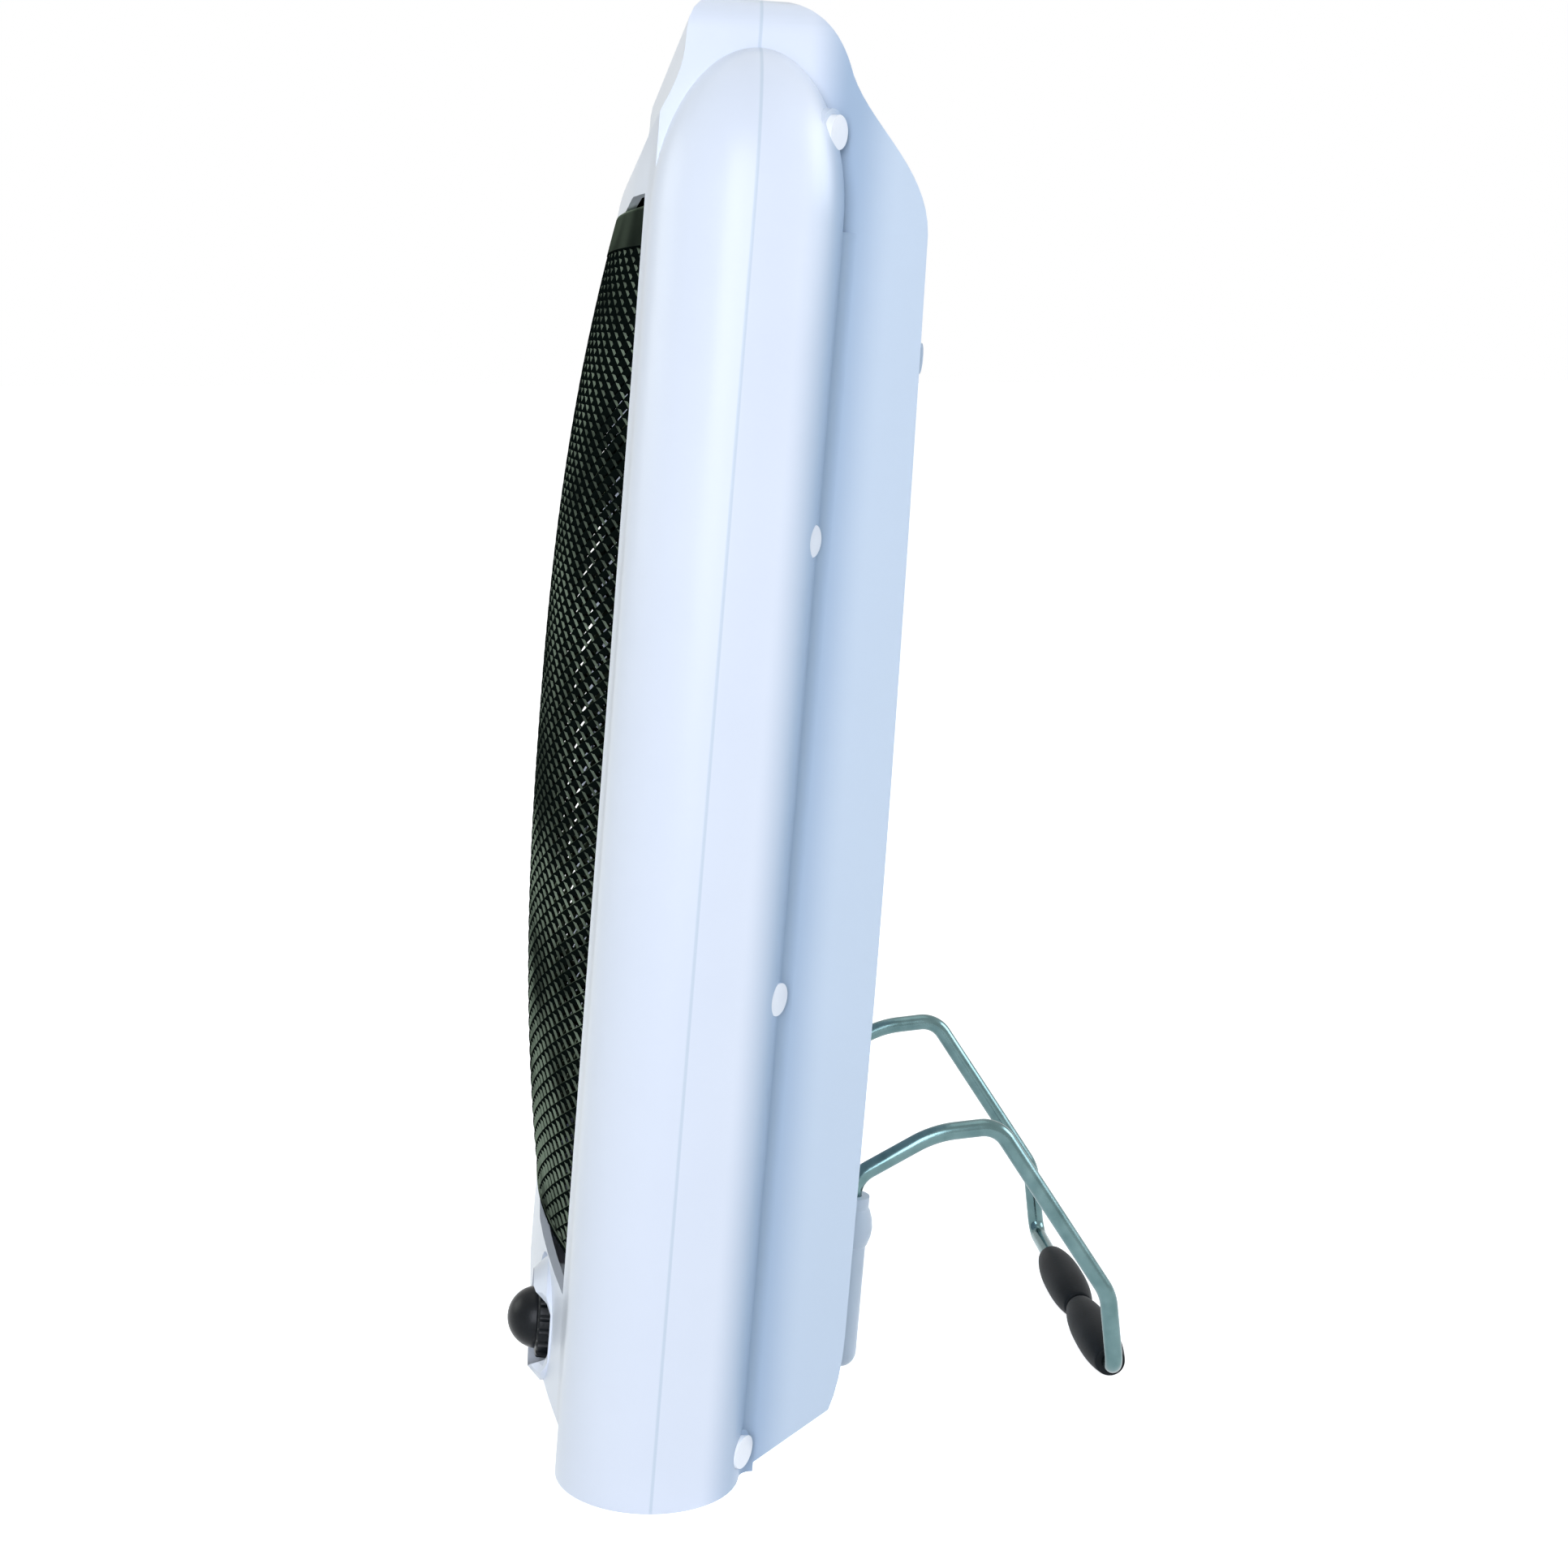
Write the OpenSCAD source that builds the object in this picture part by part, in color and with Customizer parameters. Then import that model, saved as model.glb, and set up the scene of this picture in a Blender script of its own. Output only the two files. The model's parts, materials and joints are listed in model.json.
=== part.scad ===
// Free-standing quartz heater: two rounded pillars carry a leaning casing with a
// bulged wire-mesh front, two horizontal quartz tubes, and a push-in wire stand behind.
// Sizes are in millimetres. The casing is drawn upright and then leaned back about X.

/* [Casing] */
// Height of the crown above the foot of the casing
case_h = 387; // [340:1:460]
// Half width of the casing block between the pillar centre lines
case_half_w = 106.5; // [96:0.5:140]
// Wall of the moulded shells
wall = 2.4; // [1.8:0.1:3]
// Lean of the casing, in degrees from upright
lean = 4.3; // [2:0.1:8]
// Depth of the back face behind the parting plane, at its foot
back_low = 49.8; // [46:0.1:60]
// Depth of the back face behind the parting plane, at the shoulder
back_high = 46.2; // [44:0.1:56]
// Height of the underside of the casing between the pillars
belly_z = 9.5; // [6:0.5:16]
// Drop from the crown top to the rear shoulder
shoulder_drop = 56; // [48:1:70]
// Depth of the narrow front neck of the crown
neck_front = 18.5; // [16:0.5:22]
// Depth of the front lip under the crown
lip_front = 28; // [25:0.5:31]
// Rounding of the upper corners of the crown, seen from the front
crown_corner_r = 9; // [3:0.5:14]

/* [Pillars] */
// Radius of the pillars
pillar_r = 24.5; // [22:0.5:30]
// Height of the pillar tips
pillar_h = 374; // [330:1:440]
// Height of the rounded pillar end
pillar_dome = 42; // [24:1:60]
// Radius of the hollow fillet behind a pillar
groove_r = 4; // [2:0.5:6]

/* [Front] */
// Lowest edge of the mesh window
window_low = 43; // [43:1:80]
// Height of the crown above the mesh window
crown_h = 50; // [46:1:70]
// Half width of the mesh window
window_half_w = 95.5; // [86:0.5:97]
// Depth of the control panel ahead of the parting plane
panel_front = 33; // [31:0.5:36]
// How far the panel falls back from its middle to the window edge
panel_bow = 7.5; // [4:0.5:10]

/* [Mesh grille] */
// Bulge of the mesh ahead of the parting plane, at mid height
mesh_front = 41.9; // [38:0.1:50]
// How far the bulge falls back towards the lower and upper edges
mesh_fall = 10; // [6:0.5:12]
// Depth of the frame behind the window edge, at the middle of its upper side
frame_top_front = 23; // [18:0.5:24]
// Depth of the frame behind the window edge, at the middle of its lower side
frame_foot_front = 27; // [18:0.5:28]
// Depth of the flat side flanges of the mesh
mesh_side_front = 17; // [15:0.5:18]
// Width of the flat side flanges inside the window
flange_w = 5.5; // [2:0.5:12]
// Power of the vertical bulge curve, higher is flatter in the middle
mesh_power = 2.45; // [2:0.05:4]
// Width of one diamond opening with its strand
cell_w = 18; // [15:0.5:36]
// Height of one diamond opening with its strand
cell_h = 28; // [22:0.5:60]
// Width of a mesh strand
strand_w = 2.4; // [1.2:0.1:4]
// Thickness of the mesh
strand_t = 1.2; // [0.8:0.1:1.6]
// Thickness of the frame sheet round the mesh
frame_t = 1; // [0.6:0.1:1.4]
// Width of the frame band that shows inside the window
frame_band = 9; // [6:0.5:14]

/* [Heating elements] */
// Outer radius of a quartz tube
tube_r = 6; // [5:0.25:8]
// Wall of a quartz tube
tube_wall = 1; // [0.8:0.1:1.5]
// Half length of a quartz tube
tube_half_l = 88; // [76:0.5:90]
// Height of the lower tube
tube_low_z = 134; // [120:1:150]
// Height of the upper tube
tube_high_z = 257; // [240:1:270]
// Depth of the tubes behind the parting plane
tube_y = 5; // [0:0.5:9]
// Radius of the heating coil at the middle of its wire
coil_r = 3.5; // [2.5:0.1:4.2]
// Radius of the heating wire
coil_wire_r = 0.7; // [0.4:0.05:0.9]
// Number of turns in each heating coil
coil_turns = 20; // [12:1:24]
// Radius of a ceramic end cap
cap_r = 9; // [8:0.25:11]
// Length of a ceramic end cap
cap_l = 17; // [14:0.5:18]
// Depth to which a tube sits in its end cap
cap_seat = 9; // [6:0.5:10]
// Thickness of the bracket and reflector sheet
sheet_t = 1; // [0.6:0.1:1.4]
// Radius of the reflector troughs
trough_r = 55; // [50:1:60]
// Depth of the reflector ridge behind the parting plane
ridge_y = -3; // [-8:0.5:4]

/* [Control] */
// Distance of the knob from the middle of the heater
knob_x = 66; // [55:0.5:70]
// Height of the knob
knob_z = 24.5; // [24:0.5:28]
// Radius of the knob
knob_r = 11; // [9:0.5:12]
// Depth of the knob face ahead of the parting plane
knob_front = 38.6; // [36:0.2:42]
// Radius of the knob face dome
knob_dome_r = 15; // [13:0.5:24]
// Radius of the round recess for the knob
recess_r = 13.4; // [13:0.1:14.5]
// Depth of the recess floor ahead of the parting plane
recess_floor = 22; // [20:0.5:24]
// Outer radius of the raised bezel round the recess
bezel_r = 17; // [16:0.5:18]
// Depth of the bezel face ahead of the parting plane
bezel_front = 33.4; // [31:0.2:35]
// Radius of the switch shaft
shaft_r = 3; // [2.5:0.1:3.5]
// Side of the rotary switch housing
switch_w = 24; // [20:0.5:24]
// Depth of the rotary switch housing
switch_d = 20; // [14:0.5:26]

/* [Tip-over switch] */
// Radius of the plunger
plunger_r = 3; // [2:0.25:4]
// Height of the switch housing
tip_h = 30; // [24:1:40]
// Width of the switch housing
tip_w = 22; // [18:1:30]
// Travel of the plunger when the heater is lifted
tip_travel = 4; // [2:0.5:5]

/* [Stand] */
// Radius of the stand wire
wire_r = 2.5; // [2:0.1:3]
// Half distance between the stand legs
leg_x = 56; // [46:1:64]
// Gap between the back face and the wire in its socket
socket_gap = 6.6; // [5.5:0.1:9]
// Lower end of the stand sockets
socket_low = 17; // [14:1:28]
// Upper end of the stand sockets
socket_high = 63; // [56:1:72]
// Reach of the stand bar behind the foot of the parting plane
bar_y = 136.9; // [125:0.5:150]
// Outer radius of the rubber sleeves
sleeve_r = 6.2; // [5:0.1:8]
// Length of a rubber sleeve
sleeve_l = 40; // [30:1:44]
// Position of the gap between the sleeves
sleeve_gap_x = 9.5; // [-10:0.5:10]

/* [Fasteners and inlet] */
// Offset of the shell screws outside the casing block
screw_dx = 7; // [5:0.25:9]
// Radius of the shell screw shanks
screw_r = 1.7; // [1.4:0.1:2]
// Radius of the white screw caps
plug_r = 4.3; // [4:0.1:5]
// Radius of the cord hole in the gland
cord_r = 3.6; // [3:0.1:4.5]
// Height of the cord gland
gland_z = 84; // [80:1:110]
// Clearance of a running fit
fit = 0.08; // [0.04:0.01:0.1]
// Clearance between pieces that only lie against each other
seat = 0.3; // [0.2:0.05:0.4]

/* [Hidden] */
$fn = 64;

white = [0.86, 0.89, 0.95];
black = [0.06, 0.06, 0.07];
steel = [0.62, 0.65, 0.62];
ceramic = [0.9, 0.88, 0.82];
big = 600;

window_high = case_h - crown_h;
mesh_half_w = window_half_w - flange_w;
// Heights of the four screws on each side
screw_zs = [10.5, 133, 252, pillar_h - 20];
// Foremost point of the knob and rearmost point of the stand, from the foot of the seam
front_reach = (knob_front - knob_dome_r) * cos(lean) - knob_z * sin(lean) + knob_dome_r;
rear_reach = bar_y + sleeve_r;
shift_y = (front_reach - rear_reach) / 2;

// A cubic curve from a to d, drawn towards b and c
function curve(a, b, c, d, n = 16) = [for (i = [0:n]) let (t = i / n, u = 1 - t)
    u * u * u * a + 3 * u * u * t * b + 3 * u * t * t * c + t * t * t * d];
function arc(c, r, a0, a1, n) = [for (i = [0:n]) let (a = a0 + (a1 - a0) * i / n)
    c + r * [cos(a), sin(a)]];

// Puts casing coordinates into the standing heater
module leaned() translate([0, shift_y, 0]) rotate([-lean, 0, 0]) children();
// Casing coordinates of a point that is given from the foot of the seam
function from_floor(y, z) = [y * cos(lean) - z * sin(lean), y * sin(lean) + z * cos(lean)];

module above_floor(z = 0) intersection() {
    children();
    translate([-big, -big, z]) cube(2 * big);
}
module along_x(half_l) rotate([90, 0, 90]) translate([0, 0, -half_l])
    linear_extrude(2 * half_l) children();
module rod_y(x, z, y0, y1, r) translate([x, y0, z]) rotate([-90, 0, 0]) cylinder(h = y1 - y0, r = r);
module both_sides() for (s = [0, 1]) mirror([s, 0, 0]) children();

// Side outline of the casing block, as [depth, height], inset by t from the mouldings
crown_back = 23.2;
crown_step = 15.5;
back_foot = 110;
foot_slope = [[47, 20.6], [25, 1.9]];
function side_outline() = concat(
    curve([4, case_h], [11, case_h], [19, case_h - 5], [crown_back, case_h - crown_step]),
    curve([crown_back, case_h - crown_step], [crown_back + 4.3, case_h - 29],
        [back_high - 1.2, case_h - 38.5], [back_high, case_h - shoulder_drop]),
    curve([back_high, case_h - shoulder_drop], [back_high + 1.7, case_h - 129],
        [back_low, back_foot + 74], [back_low, back_foot], 8),
    curve([back_low, 41], [back_low, 33], [48.6, 25], foot_slope[0], 4),
    [[33.9, belly_z], [-panel_front + 6, belly_z]],
    curve([-panel_front + 6, belly_z], [-panel_front + 2, belly_z],
        [-panel_front, belly_z + 2], [-panel_front, belly_z + 7], 4),
    [[-panel_front + 1.2, window_low + 1], [-lip_front, window_high - 1]],
    curve([-lip_front, window_high + 2], [-lip_front + 1, case_h - 30],
        [-neck_front, case_h - 26], [-neck_front, case_h - 12]),
    curve([-neck_front, case_h - 10], [-neck_front, case_h - 4],
        [-neck_front + 3, case_h], [-10, case_h], 5));

// Plan radius of the bowed front
bow_r = (window_half_w * window_half_w + panel_bow * panel_bow) / 2 / panel_bow;

module casing_block(t) intersection() {
    along_x(case_half_w - t) offset(delta = -t) polygon(side_outline());
    translate([0, bow_r - panel_front, -1]) cylinder(h = big, r = bow_r - t, $fn = 360);
    rotate([90, 0, 0]) translate([0, 0, -big / 2]) linear_extrude(big)
        polygon(concat([[-case_half_w + t, 0], [case_half_w - t, 0]],
            arc([case_half_w - crown_corner_r, case_h - crown_corner_r], crown_corner_r - t, 0, 90, 6),
            arc([-case_half_w + crown_corner_r, case_h - crown_corner_r], crown_corner_r - t, 90, 180, 6)));
}

// Side outline of one pillar, as [radius, height]
function pillar_outline(t) = concat([[0, -5], [pillar_r - t, -5]],
    [for (a = [0:5:90]) [(pillar_r - t) * cos(a), pillar_h - pillar_dome + (pillar_dome - t) * sin(a)]]);
module pillar(t) translate([case_half_w, 0, 0]) rotate_extrude() polygon(pillar_outline(t));

// Concave fillet between a pillar and the side of the rear housing
groove_y = sqrt(pow(pillar_r + groove_r, 2) - groove_r * groove_r);
module groove_fillet(t) difference() {
    translate([case_half_w - 3 * t, 0, -5])
        cube([groove_r + 3 * t - 0.4, groove_y - t, pillar_h - pillar_dome + 3]);
    translate([case_half_w + groove_r, groove_y, -6]) cylinder(h = case_h, r = groove_r + t);
    translate([case_half_w + pillar_r / 2, -1, -6]) cube([pillar_r, pillar_r + 9, case_h]);
}

// Solid foot behind a pillar, which carries the rear slope down to the floor
module foot_cheek() translate([case_half_w - 7.5, 0, 0]) along_x(7.5)
    polygon([[0, -3], [foot_slope[1][0] + 1, -3], foot_slope[1], foot_slope[0], [40, 24], [0, 24]]);

module casing_solid() {
    casing_block(0);
    both_sides() {
        pillar(0);
        groove_fillet(0);
        foot_cheek();
    }
}
module casing_cavity() {
    casing_block(wall);
    both_sides() pillar(wall);
}
module casing_shell() difference() {
    above_floor() leaned() casing_solid();
    above_floor(wall) leaned() casing_cavity();
}

screw_x = case_half_w + screw_dx;
boss_r = plug_r + 1.4;
// Depth at which the screw heads sit and at which the caps start
head_y = 8;
plug_y = 15;
// Skewed outer face of a cap, from its inner to its outer edge
plug_tip = 27.8;
plug_slope = 0.6;
// How much lower the four caps sit than that face
plug_drops = [0.4, 1.2, 2.3, 4.2];

// Boss that a shell screw bites into, on the front moulding
module front_boss(z) intersection() {
    rod_y(screw_x, z, -pillar_r, 0, boss_r - 1);
    pillar(wall / 2);
}
// Tube that holds the screw head and the cap, on the rear moulding
module rear_boss(z, drop) intersection() {
    rod_y(screw_x, z, 0, plug_tip, boss_r);
    plug_side(drop + 1.6, z);
}
module plug_side(drop, z) translate([0, 0, z - 20]) linear_extrude(40)
    polygon([[screw_x - 9, -1], [screw_x + 9, -1],
        [screw_x + 9, plug_tip - drop - plug_slope * (9 + plug_r)],
        [screw_x - 9, plug_tip - drop + plug_slope * (9 - plug_r)]]);

// Ribs inside the pillars that the mesh frame lies against
frame_half_w = 100;
module frame_ribs() translate([frame_half_w - 3, -pillar_r + wall / 2 + 1, window_low + 8])
    cube([2, pillar_r - wall / 2 - 1 - mesh_side_front - strand_t / 2 - frame_t - 2 * seat,
        window_high - window_low - 16]);

module bezel_solid() {
    rod_y(knob_x, knob_z, -bezel_front, 1 - lip_front, bezel_r);
    rod_y(knob_x, knob_z, -lip_front, -recess_floor + wall, recess_r + 1.6);
}
module bezel_edge() translate([knob_x, -bezel_front, knob_z]) rotate([-90, 0, 0])
    rotate_extrude() polygon([[bezel_r - 5, -1], [bezel_r + 1, -1], [bezel_r + 1, 5]]);

module front_shell() color(white) difference() {
    union() {
        difference() {
            casing_shell();
            leaned() {
                translate([-big, 0, -big]) cube(2 * big);
                translate([-window_half_w, -big, window_low])
                    cube([2 * window_half_w, big + 1, window_high - window_low]);
            }
        }
        leaned() {
            bezel_solid();
            both_sides() {
                frame_ribs();
                for (z = screw_zs) front_boss(z);
            }
        }
    }
    leaned() {
        bezel_edge();
        rod_y(knob_x, knob_z, -big, -recess_floor, recess_r);
        rod_y(knob_x, knob_z, -big, big, switch_neck_r + 0.1);
        both_sides() for (z = screw_zs) rod_y(screw_x, z, -pillar_r * 0.65, 1, screw_r + fit / 2);
        rod_plunger_hole();
    }
}

// Vents high in the back
vent_h = 3.4;
vent_pitch = 8;
module vents() for (x = [-52, 12], row = [0:8]) translate([x, 40, 250 + row * vent_pitch])
    cube([40, 20, vent_h]);

socket_y = back_low + socket_gap;
socket_r = 4.8;
collar_l = 18;
module stand_socket() {
    translate([leg_x, socket_y, socket_low]) cylinder(h = socket_high - socket_low, r = socket_r);
    translate([leg_x, socket_y, socket_low]) sphere(socket_r);
    translate([leg_x, socket_y, socket_high - collar_l]) rotate_extrude()
        polygon(concat([[0, 0]], arc([socket_r - 10.5, collar_l / 2], 12, -48, 48, 8), [[0, collar_l]]));
    translate([leg_x - socket_r, back_low - wall / 2, socket_low])
        cube([2 * socket_r, socket_gap + wall / 2, socket_high - socket_low]);
}

bracket_in = tube_half_l + 1;
bracket_screw_zs = [92, 195, 300];
bracket_screw_x = (bracket_in + case_half_w - wall) / 2;
bracket_back = 41;
module bracket_boss(z) rod_y(bracket_screw_x, z, bracket_back, back_low - wall / 2, 4);
module gland_seat() rod_y(0, gland_z, back_low - 10, back_low + 10, cord_r + 2.5);

module rear_shell() color(white * 0.96) difference() {
    union() {
        difference() {
            casing_shell();
            leaned() translate([-big, -2 * big, -big]) cube(2 * big);
        }
        leaned() both_sides() {
            for (i = [0:3]) rear_boss(screw_zs[i], plug_drops[i]);
            for (z = bracket_screw_zs) bracket_boss(z);
            stand_socket();
        }
    }
    leaned() {
        vents();
        gland_seat();
        rod_plunger_hole();
        both_sides() {
            for (z = screw_zs) {
                rod_y(screw_x, z, -1, big, screw_r + 0.3);
                rod_y(screw_x, z, head_y, big, plug_r + fit / 2);
            }
            for (z = bracket_screw_zs) rod_y(bracket_screw_x, z, 0, back_low - wall - 1, screw_r + fit / 2);
            translate([leg_x, socket_y, socket_low + 2]) cylinder(h = big, r = wire_r + fit);
        }
    }
}

// Depth of the mesh ahead of the parting plane at a point of the window
bulge_mid = (window_low + window_high) / 2 - 8;
bulge_reach = (window_high - window_low) / 2 - 7;
function mesh_height(z) = mesh_front - mesh_fall * pow(abs(z - bulge_mid) / bulge_reach, mesh_power);
function across(x, height) = let (u = min(1, abs(x) / mesh_half_w))
    -(mesh_side_front + (height - mesh_side_front) * (1 - u * u));
function mesh_y(x, z) = across(x, mesh_height(z));

// Diamond net as one perforated sheet that follows the bulge
cols = floor(mesh_half_w * 2 / cell_w + 0.01);
rows = floor((window_high - window_low - 8) / cell_h + 0.01);
net_low = (window_low + window_high - rows * cell_h) / 2;
function cells() = [for (j = [1:2 * rows - 1], i = [1:2 * cols - 1]) if ((i + j) % 2 == 0) [i, j]];
function inside(c) = c[0] > 0 && c[0] < 2 * cols && c[1] > 0 && c[1] < 2 * rows;
function net_point(c, side) = let (x = c[0] * cell_w / 2 - cols * cell_w / 2,
    z = net_low + c[1] * cell_h / 2) [x, mesh_y(x, z) + side * strand_t / 2, z];
open_share = 1 - strand_w / (cell_w * cell_h / norm([cell_w, cell_h]));
corner_steps = [[1, 0], [0, 1], [-1, 0], [0, -1]];
function cell_points(c) = concat(
    [for (side = [-1, 1], k = [0:3]) net_point(c + corner_steps[k], side)],
    [for (side = [-1, 1], k = [0:3]) net_point(c + corner_steps[k] * open_share, side)]);
function quad(a, b, c, d) = [[a, b, c], [a, c, d]];
// Faces of one cell; its outer walls are closed where it has no neighbour
function cell_faces(c, n) = [for (k = [0:3]) let (m = (k + 1) % 4) each concat(
    quad(n + 8 + k, n + 8 + m, n + m, n + k),
    quad(n + 4 + m, n + 12 + m, n + 12 + k, n + 4 + k),
    quad(n + 12 + k, n + 12 + m, n + 8 + m, n + 8 + k),
    inside(c + corner_steps[k] + corner_steps[m]) ? [] : quad(n + m, n + 4 + m, n + 4 + k, n + k))];
module mesh_grille() color(black) leaned() {
    list = cells();
    polyhedron(points = [for (c = list) each cell_points(c)],
        faces = [for (n = [0:len(list) - 1]) each cell_faces(list[n], 16 * n)]);
}

// Sheet frame in front of the edge of the net: a ring of strips that follows the bulge and
// drops steeply behind the edge of the window
frame_low = window_low - 2.5;
frame_high = window_high + 5;
flank_w = 6;
function frame_y(x, z) = z < window_low + 1 ? across(x, frame_foot_front)
    : z > window_high - 1 ? across(x, frame_top_front) : mesh_y(x, z);
function frame_xs() = let (w = window_half_w - frame_band) concat([-frame_half_w, -mesh_half_w],
    [for (i = [-6:6]) w * i / 6], [mesh_half_w, frame_half_w]);
function frame_zs() = let (a = window_low + frame_band, b = window_high - frame_band)
    concat([frame_low, window_low + 0.5, window_low + flank_w], [for (i = [0:12]) a + (b - a) * i / 12],
        [window_high - flank_w, window_high - 0.5, frame_high]);
function frame_solid(i, j, nx, nz) = i >= 0 && j >= 0 && i < nx && j < nz
    && (i < 2 || j < 3 || i >= nx - 2 || j >= nz - 3);
module grille_frame() color(black) leaned() {
    xs = frame_xs();
    zs = frame_zs();
    nx = len(xs) - 1;
    nz = len(zs) - 1;
    front = -strand_t / 2 - seat - frame_t;
    points = [for (y = [0, frame_t], z = zs, x = xs) [x, frame_y(x, z) + front + y, z]];
    layer = (nx + 1) * (nz + 1);
    polyhedron(points = points, faces = [for (j = [0:nz - 1], i = [0:nx - 1])
        if (frame_solid(i, j, nx, nz))
            let (a = j * (nx + 1) + i, b = a + 1, c = b + nx + 1, d = a + nx + 1) each concat(
                quad(d, c, b, a), quad(layer + a, layer + b, layer + c, layer + d),
                frame_solid(i, j - 1, nx, nz) ? [] : quad(a, b, layer + b, layer + a),
                frame_solid(i + 1, j, nx, nz) ? [] : quad(b, c, layer + c, layer + b),
                frame_solid(i, j + 1, nx, nz) ? [] : quad(c, d, layer + d, layer + c),
                frame_solid(i - 1, j, nx, nz) ? [] : quad(d, a, layer + a, layer + d))]);
}

// Reflector of two troughs, bent from one sheet
trough_bottom = tube_y + 30;
trough_y = trough_bottom - trough_r;
tube_zs = [tube_low_z, tube_high_z];
flat_l = 13;
function trough_span(t) = acos((ridge_y + t - trough_y) / (trough_r + t));
function trough_path(t) = let (r = trough_r + t, span = trough_span(t), reach = r * sin(span)) concat(
    [[ridge_y + t, tube_low_z - reach - flat_l]],
    [for (z = tube_zs) each arc([trough_y, z], r, -span, span, 16)],
    [[ridge_y + t, tube_high_z + reach + flat_l]]);
function reverse(list) = [for (i = [len(list) - 1:-1:0]) list[i]];
module reflector() color([0.8, 0.8, 0.82]) leaned() along_x(bracket_in - seat)
    polygon(concat(trough_path(0), reverse(trough_path(sheet_t))));

// Side bracket that carries the end caps and traps the flange of the mesh
bracket_low = 64;
bracket_high = 326;
bracket_front = -mesh_side_front + strand_t / 2 + seat;
module tube_bracket() difference() {
    union() {
        translate([bracket_in, bracket_front, bracket_low])
            cube([sheet_t, bracket_back - bracket_front, bracket_high - bracket_low]);
        translate([bracket_in, bracket_front, bracket_low])
            cube([frame_half_w - bracket_in - 1, sheet_t, bracket_high - bracket_low]);
        translate([bracket_in, bracket_back - sheet_t, bracket_low])
            cube([case_half_w - wall - seat - bracket_in, sheet_t, bracket_high - bracket_low]);
    }
    for (z = tube_zs) translate([bracket_in - 1, tube_y, z]) rotate([0, 90, 0])
        cylinder(h = sheet_t + 2, r = cap_r - 1.5 + fit);
    for (z = bracket_screw_zs) rod_y(bracket_screw_x, z, 30, 50, screw_r + 0.2);
}
module left_bracket() color(steel) leaned() mirror([1, 0, 0]) tube_bracket();
module right_bracket() color(steel) leaned() tube_bracket();

module tube_at(z) leaned() translate([0, tube_y, z]) rotate([0, 90, 0]) children();
module quartz_tube() difference() {
    translate([0, 0, -tube_half_l]) cylinder(h = 2 * tube_half_l, r = tube_r);
    translate([0, 0, -tube_half_l - 1]) cylinder(h = 2 * tube_half_l + 2, r = tube_r - tube_wall);
}
module lower_quartz_tube() color([0.85, 0.86, 0.84, 0.5]) tube_at(tube_low_z) quartz_tube();
module upper_quartz_tube() color([0.85, 0.86, 0.84, 0.5]) tube_at(tube_high_z) quartz_tube();

// Sweeps a tube with flat ends along a list of points
function unit(v) = v / norm(v);
function ring(p, d, up, r, sides) = let (s = unit(cross(d, up)), t = cross(s, d))
    [for (k = [0:sides - 1]) p + r * (cos(360 * k / sides) * s + sin(360 * k / sides) * t)];
module sweep(path, r, sides = 8, up = [0, 0, 1]) {
    n = len(path);
    points = [for (i = [0:n - 1]) each ring(path[i],
        unit(path[min(n - 1, i + 1)] - path[max(0, i - 1)]), up, r, sides)];
    polyhedron(points = points, faces = concat(
        [[for (k = [sides - 1:-1:0]) k]],
        [for (i = [0:n - 2], k = [0:sides - 1]) let (a = i * sides + k, b = i * sides + (k + 1) % sides)
            each [[a, b + sides, a + sides], [a, b, b + sides]]],
        [[for (k = [0:sides - 1]) (n - 1) * sides + k]]));
}

// Heating coil: one unbroken helix with straight ends along the tube
coil_half_l = tube_half_l - 14;
coil_rings = 8;
coil_pitch = 2 * coil_half_l / coil_turns;
coil_gap = coil_pitch * cos(atan(coil_pitch / (2 * PI * coil_r))) - 2 * coil_wire_r;
echo(least_gap_of_heating_coil = coil_gap);
function coil_path() = concat(
    [[0, 0, -coil_half_l - 11], [0, 0, -coil_half_l - 8], [coil_r * 0.6, 0, -coil_half_l - 3]],
    [for (i = [0:coil_turns * coil_rings]) let (a = 360 * i / coil_rings)
        [coil_r * cos(a), coil_r * sin(a), -coil_half_l + i / coil_rings * coil_pitch]],
    [[coil_r * 0.6, 0, coil_half_l + 3], [0, 0, coil_half_l + 8], [0, 0, coil_half_l + 11]]);
module heating_coil() sweep(coil_path(), coil_wire_r, 6, [1, 0.02, 0.01]);
module lower_heating_coil() color([0.45, 0.4, 0.36]) tube_at(tube_low_z) heating_coil();
module upper_heating_coil() color([0.45, 0.4, 0.36]) tube_at(tube_high_z) heating_coil();

// Ceramic end cap: a stepped body, the tube seat and a terminal stud
module end_cap() difference() {
    union() {
        translate([0, 0, tube_half_l - cap_seat]) cylinder(h = bracket_in - seat - tube_half_l + cap_seat, r = cap_r);
        translate([0, 0, tube_half_l - cap_seat]) cylinder(h = cap_l, r = cap_r - 1.5);
        translate([0, 0, tube_half_l - cap_seat]) cylinder(h = cap_l + 4, r = 2);
    }
    translate([0, 0, tube_half_l - cap_seat - 1]) cylinder(h = cap_seat + 1, r = tube_r + fit);
    translate([0, 0, tube_half_l - cap_seat - 1]) cylinder(h = cap_seat + 3, r = 2.4);
}
module left_cap(z) color(ceramic) tube_at(z) mirror([0, 0, 1]) end_cap();
module right_cap(z) color(ceramic) tube_at(z) end_cap();
module lower_left_cap() left_cap(tube_low_z);
module lower_right_cap() right_cap(tube_low_z);
module upper_left_cap() left_cap(tube_high_z);
module upper_right_cap() right_cap(tube_high_z);

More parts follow.
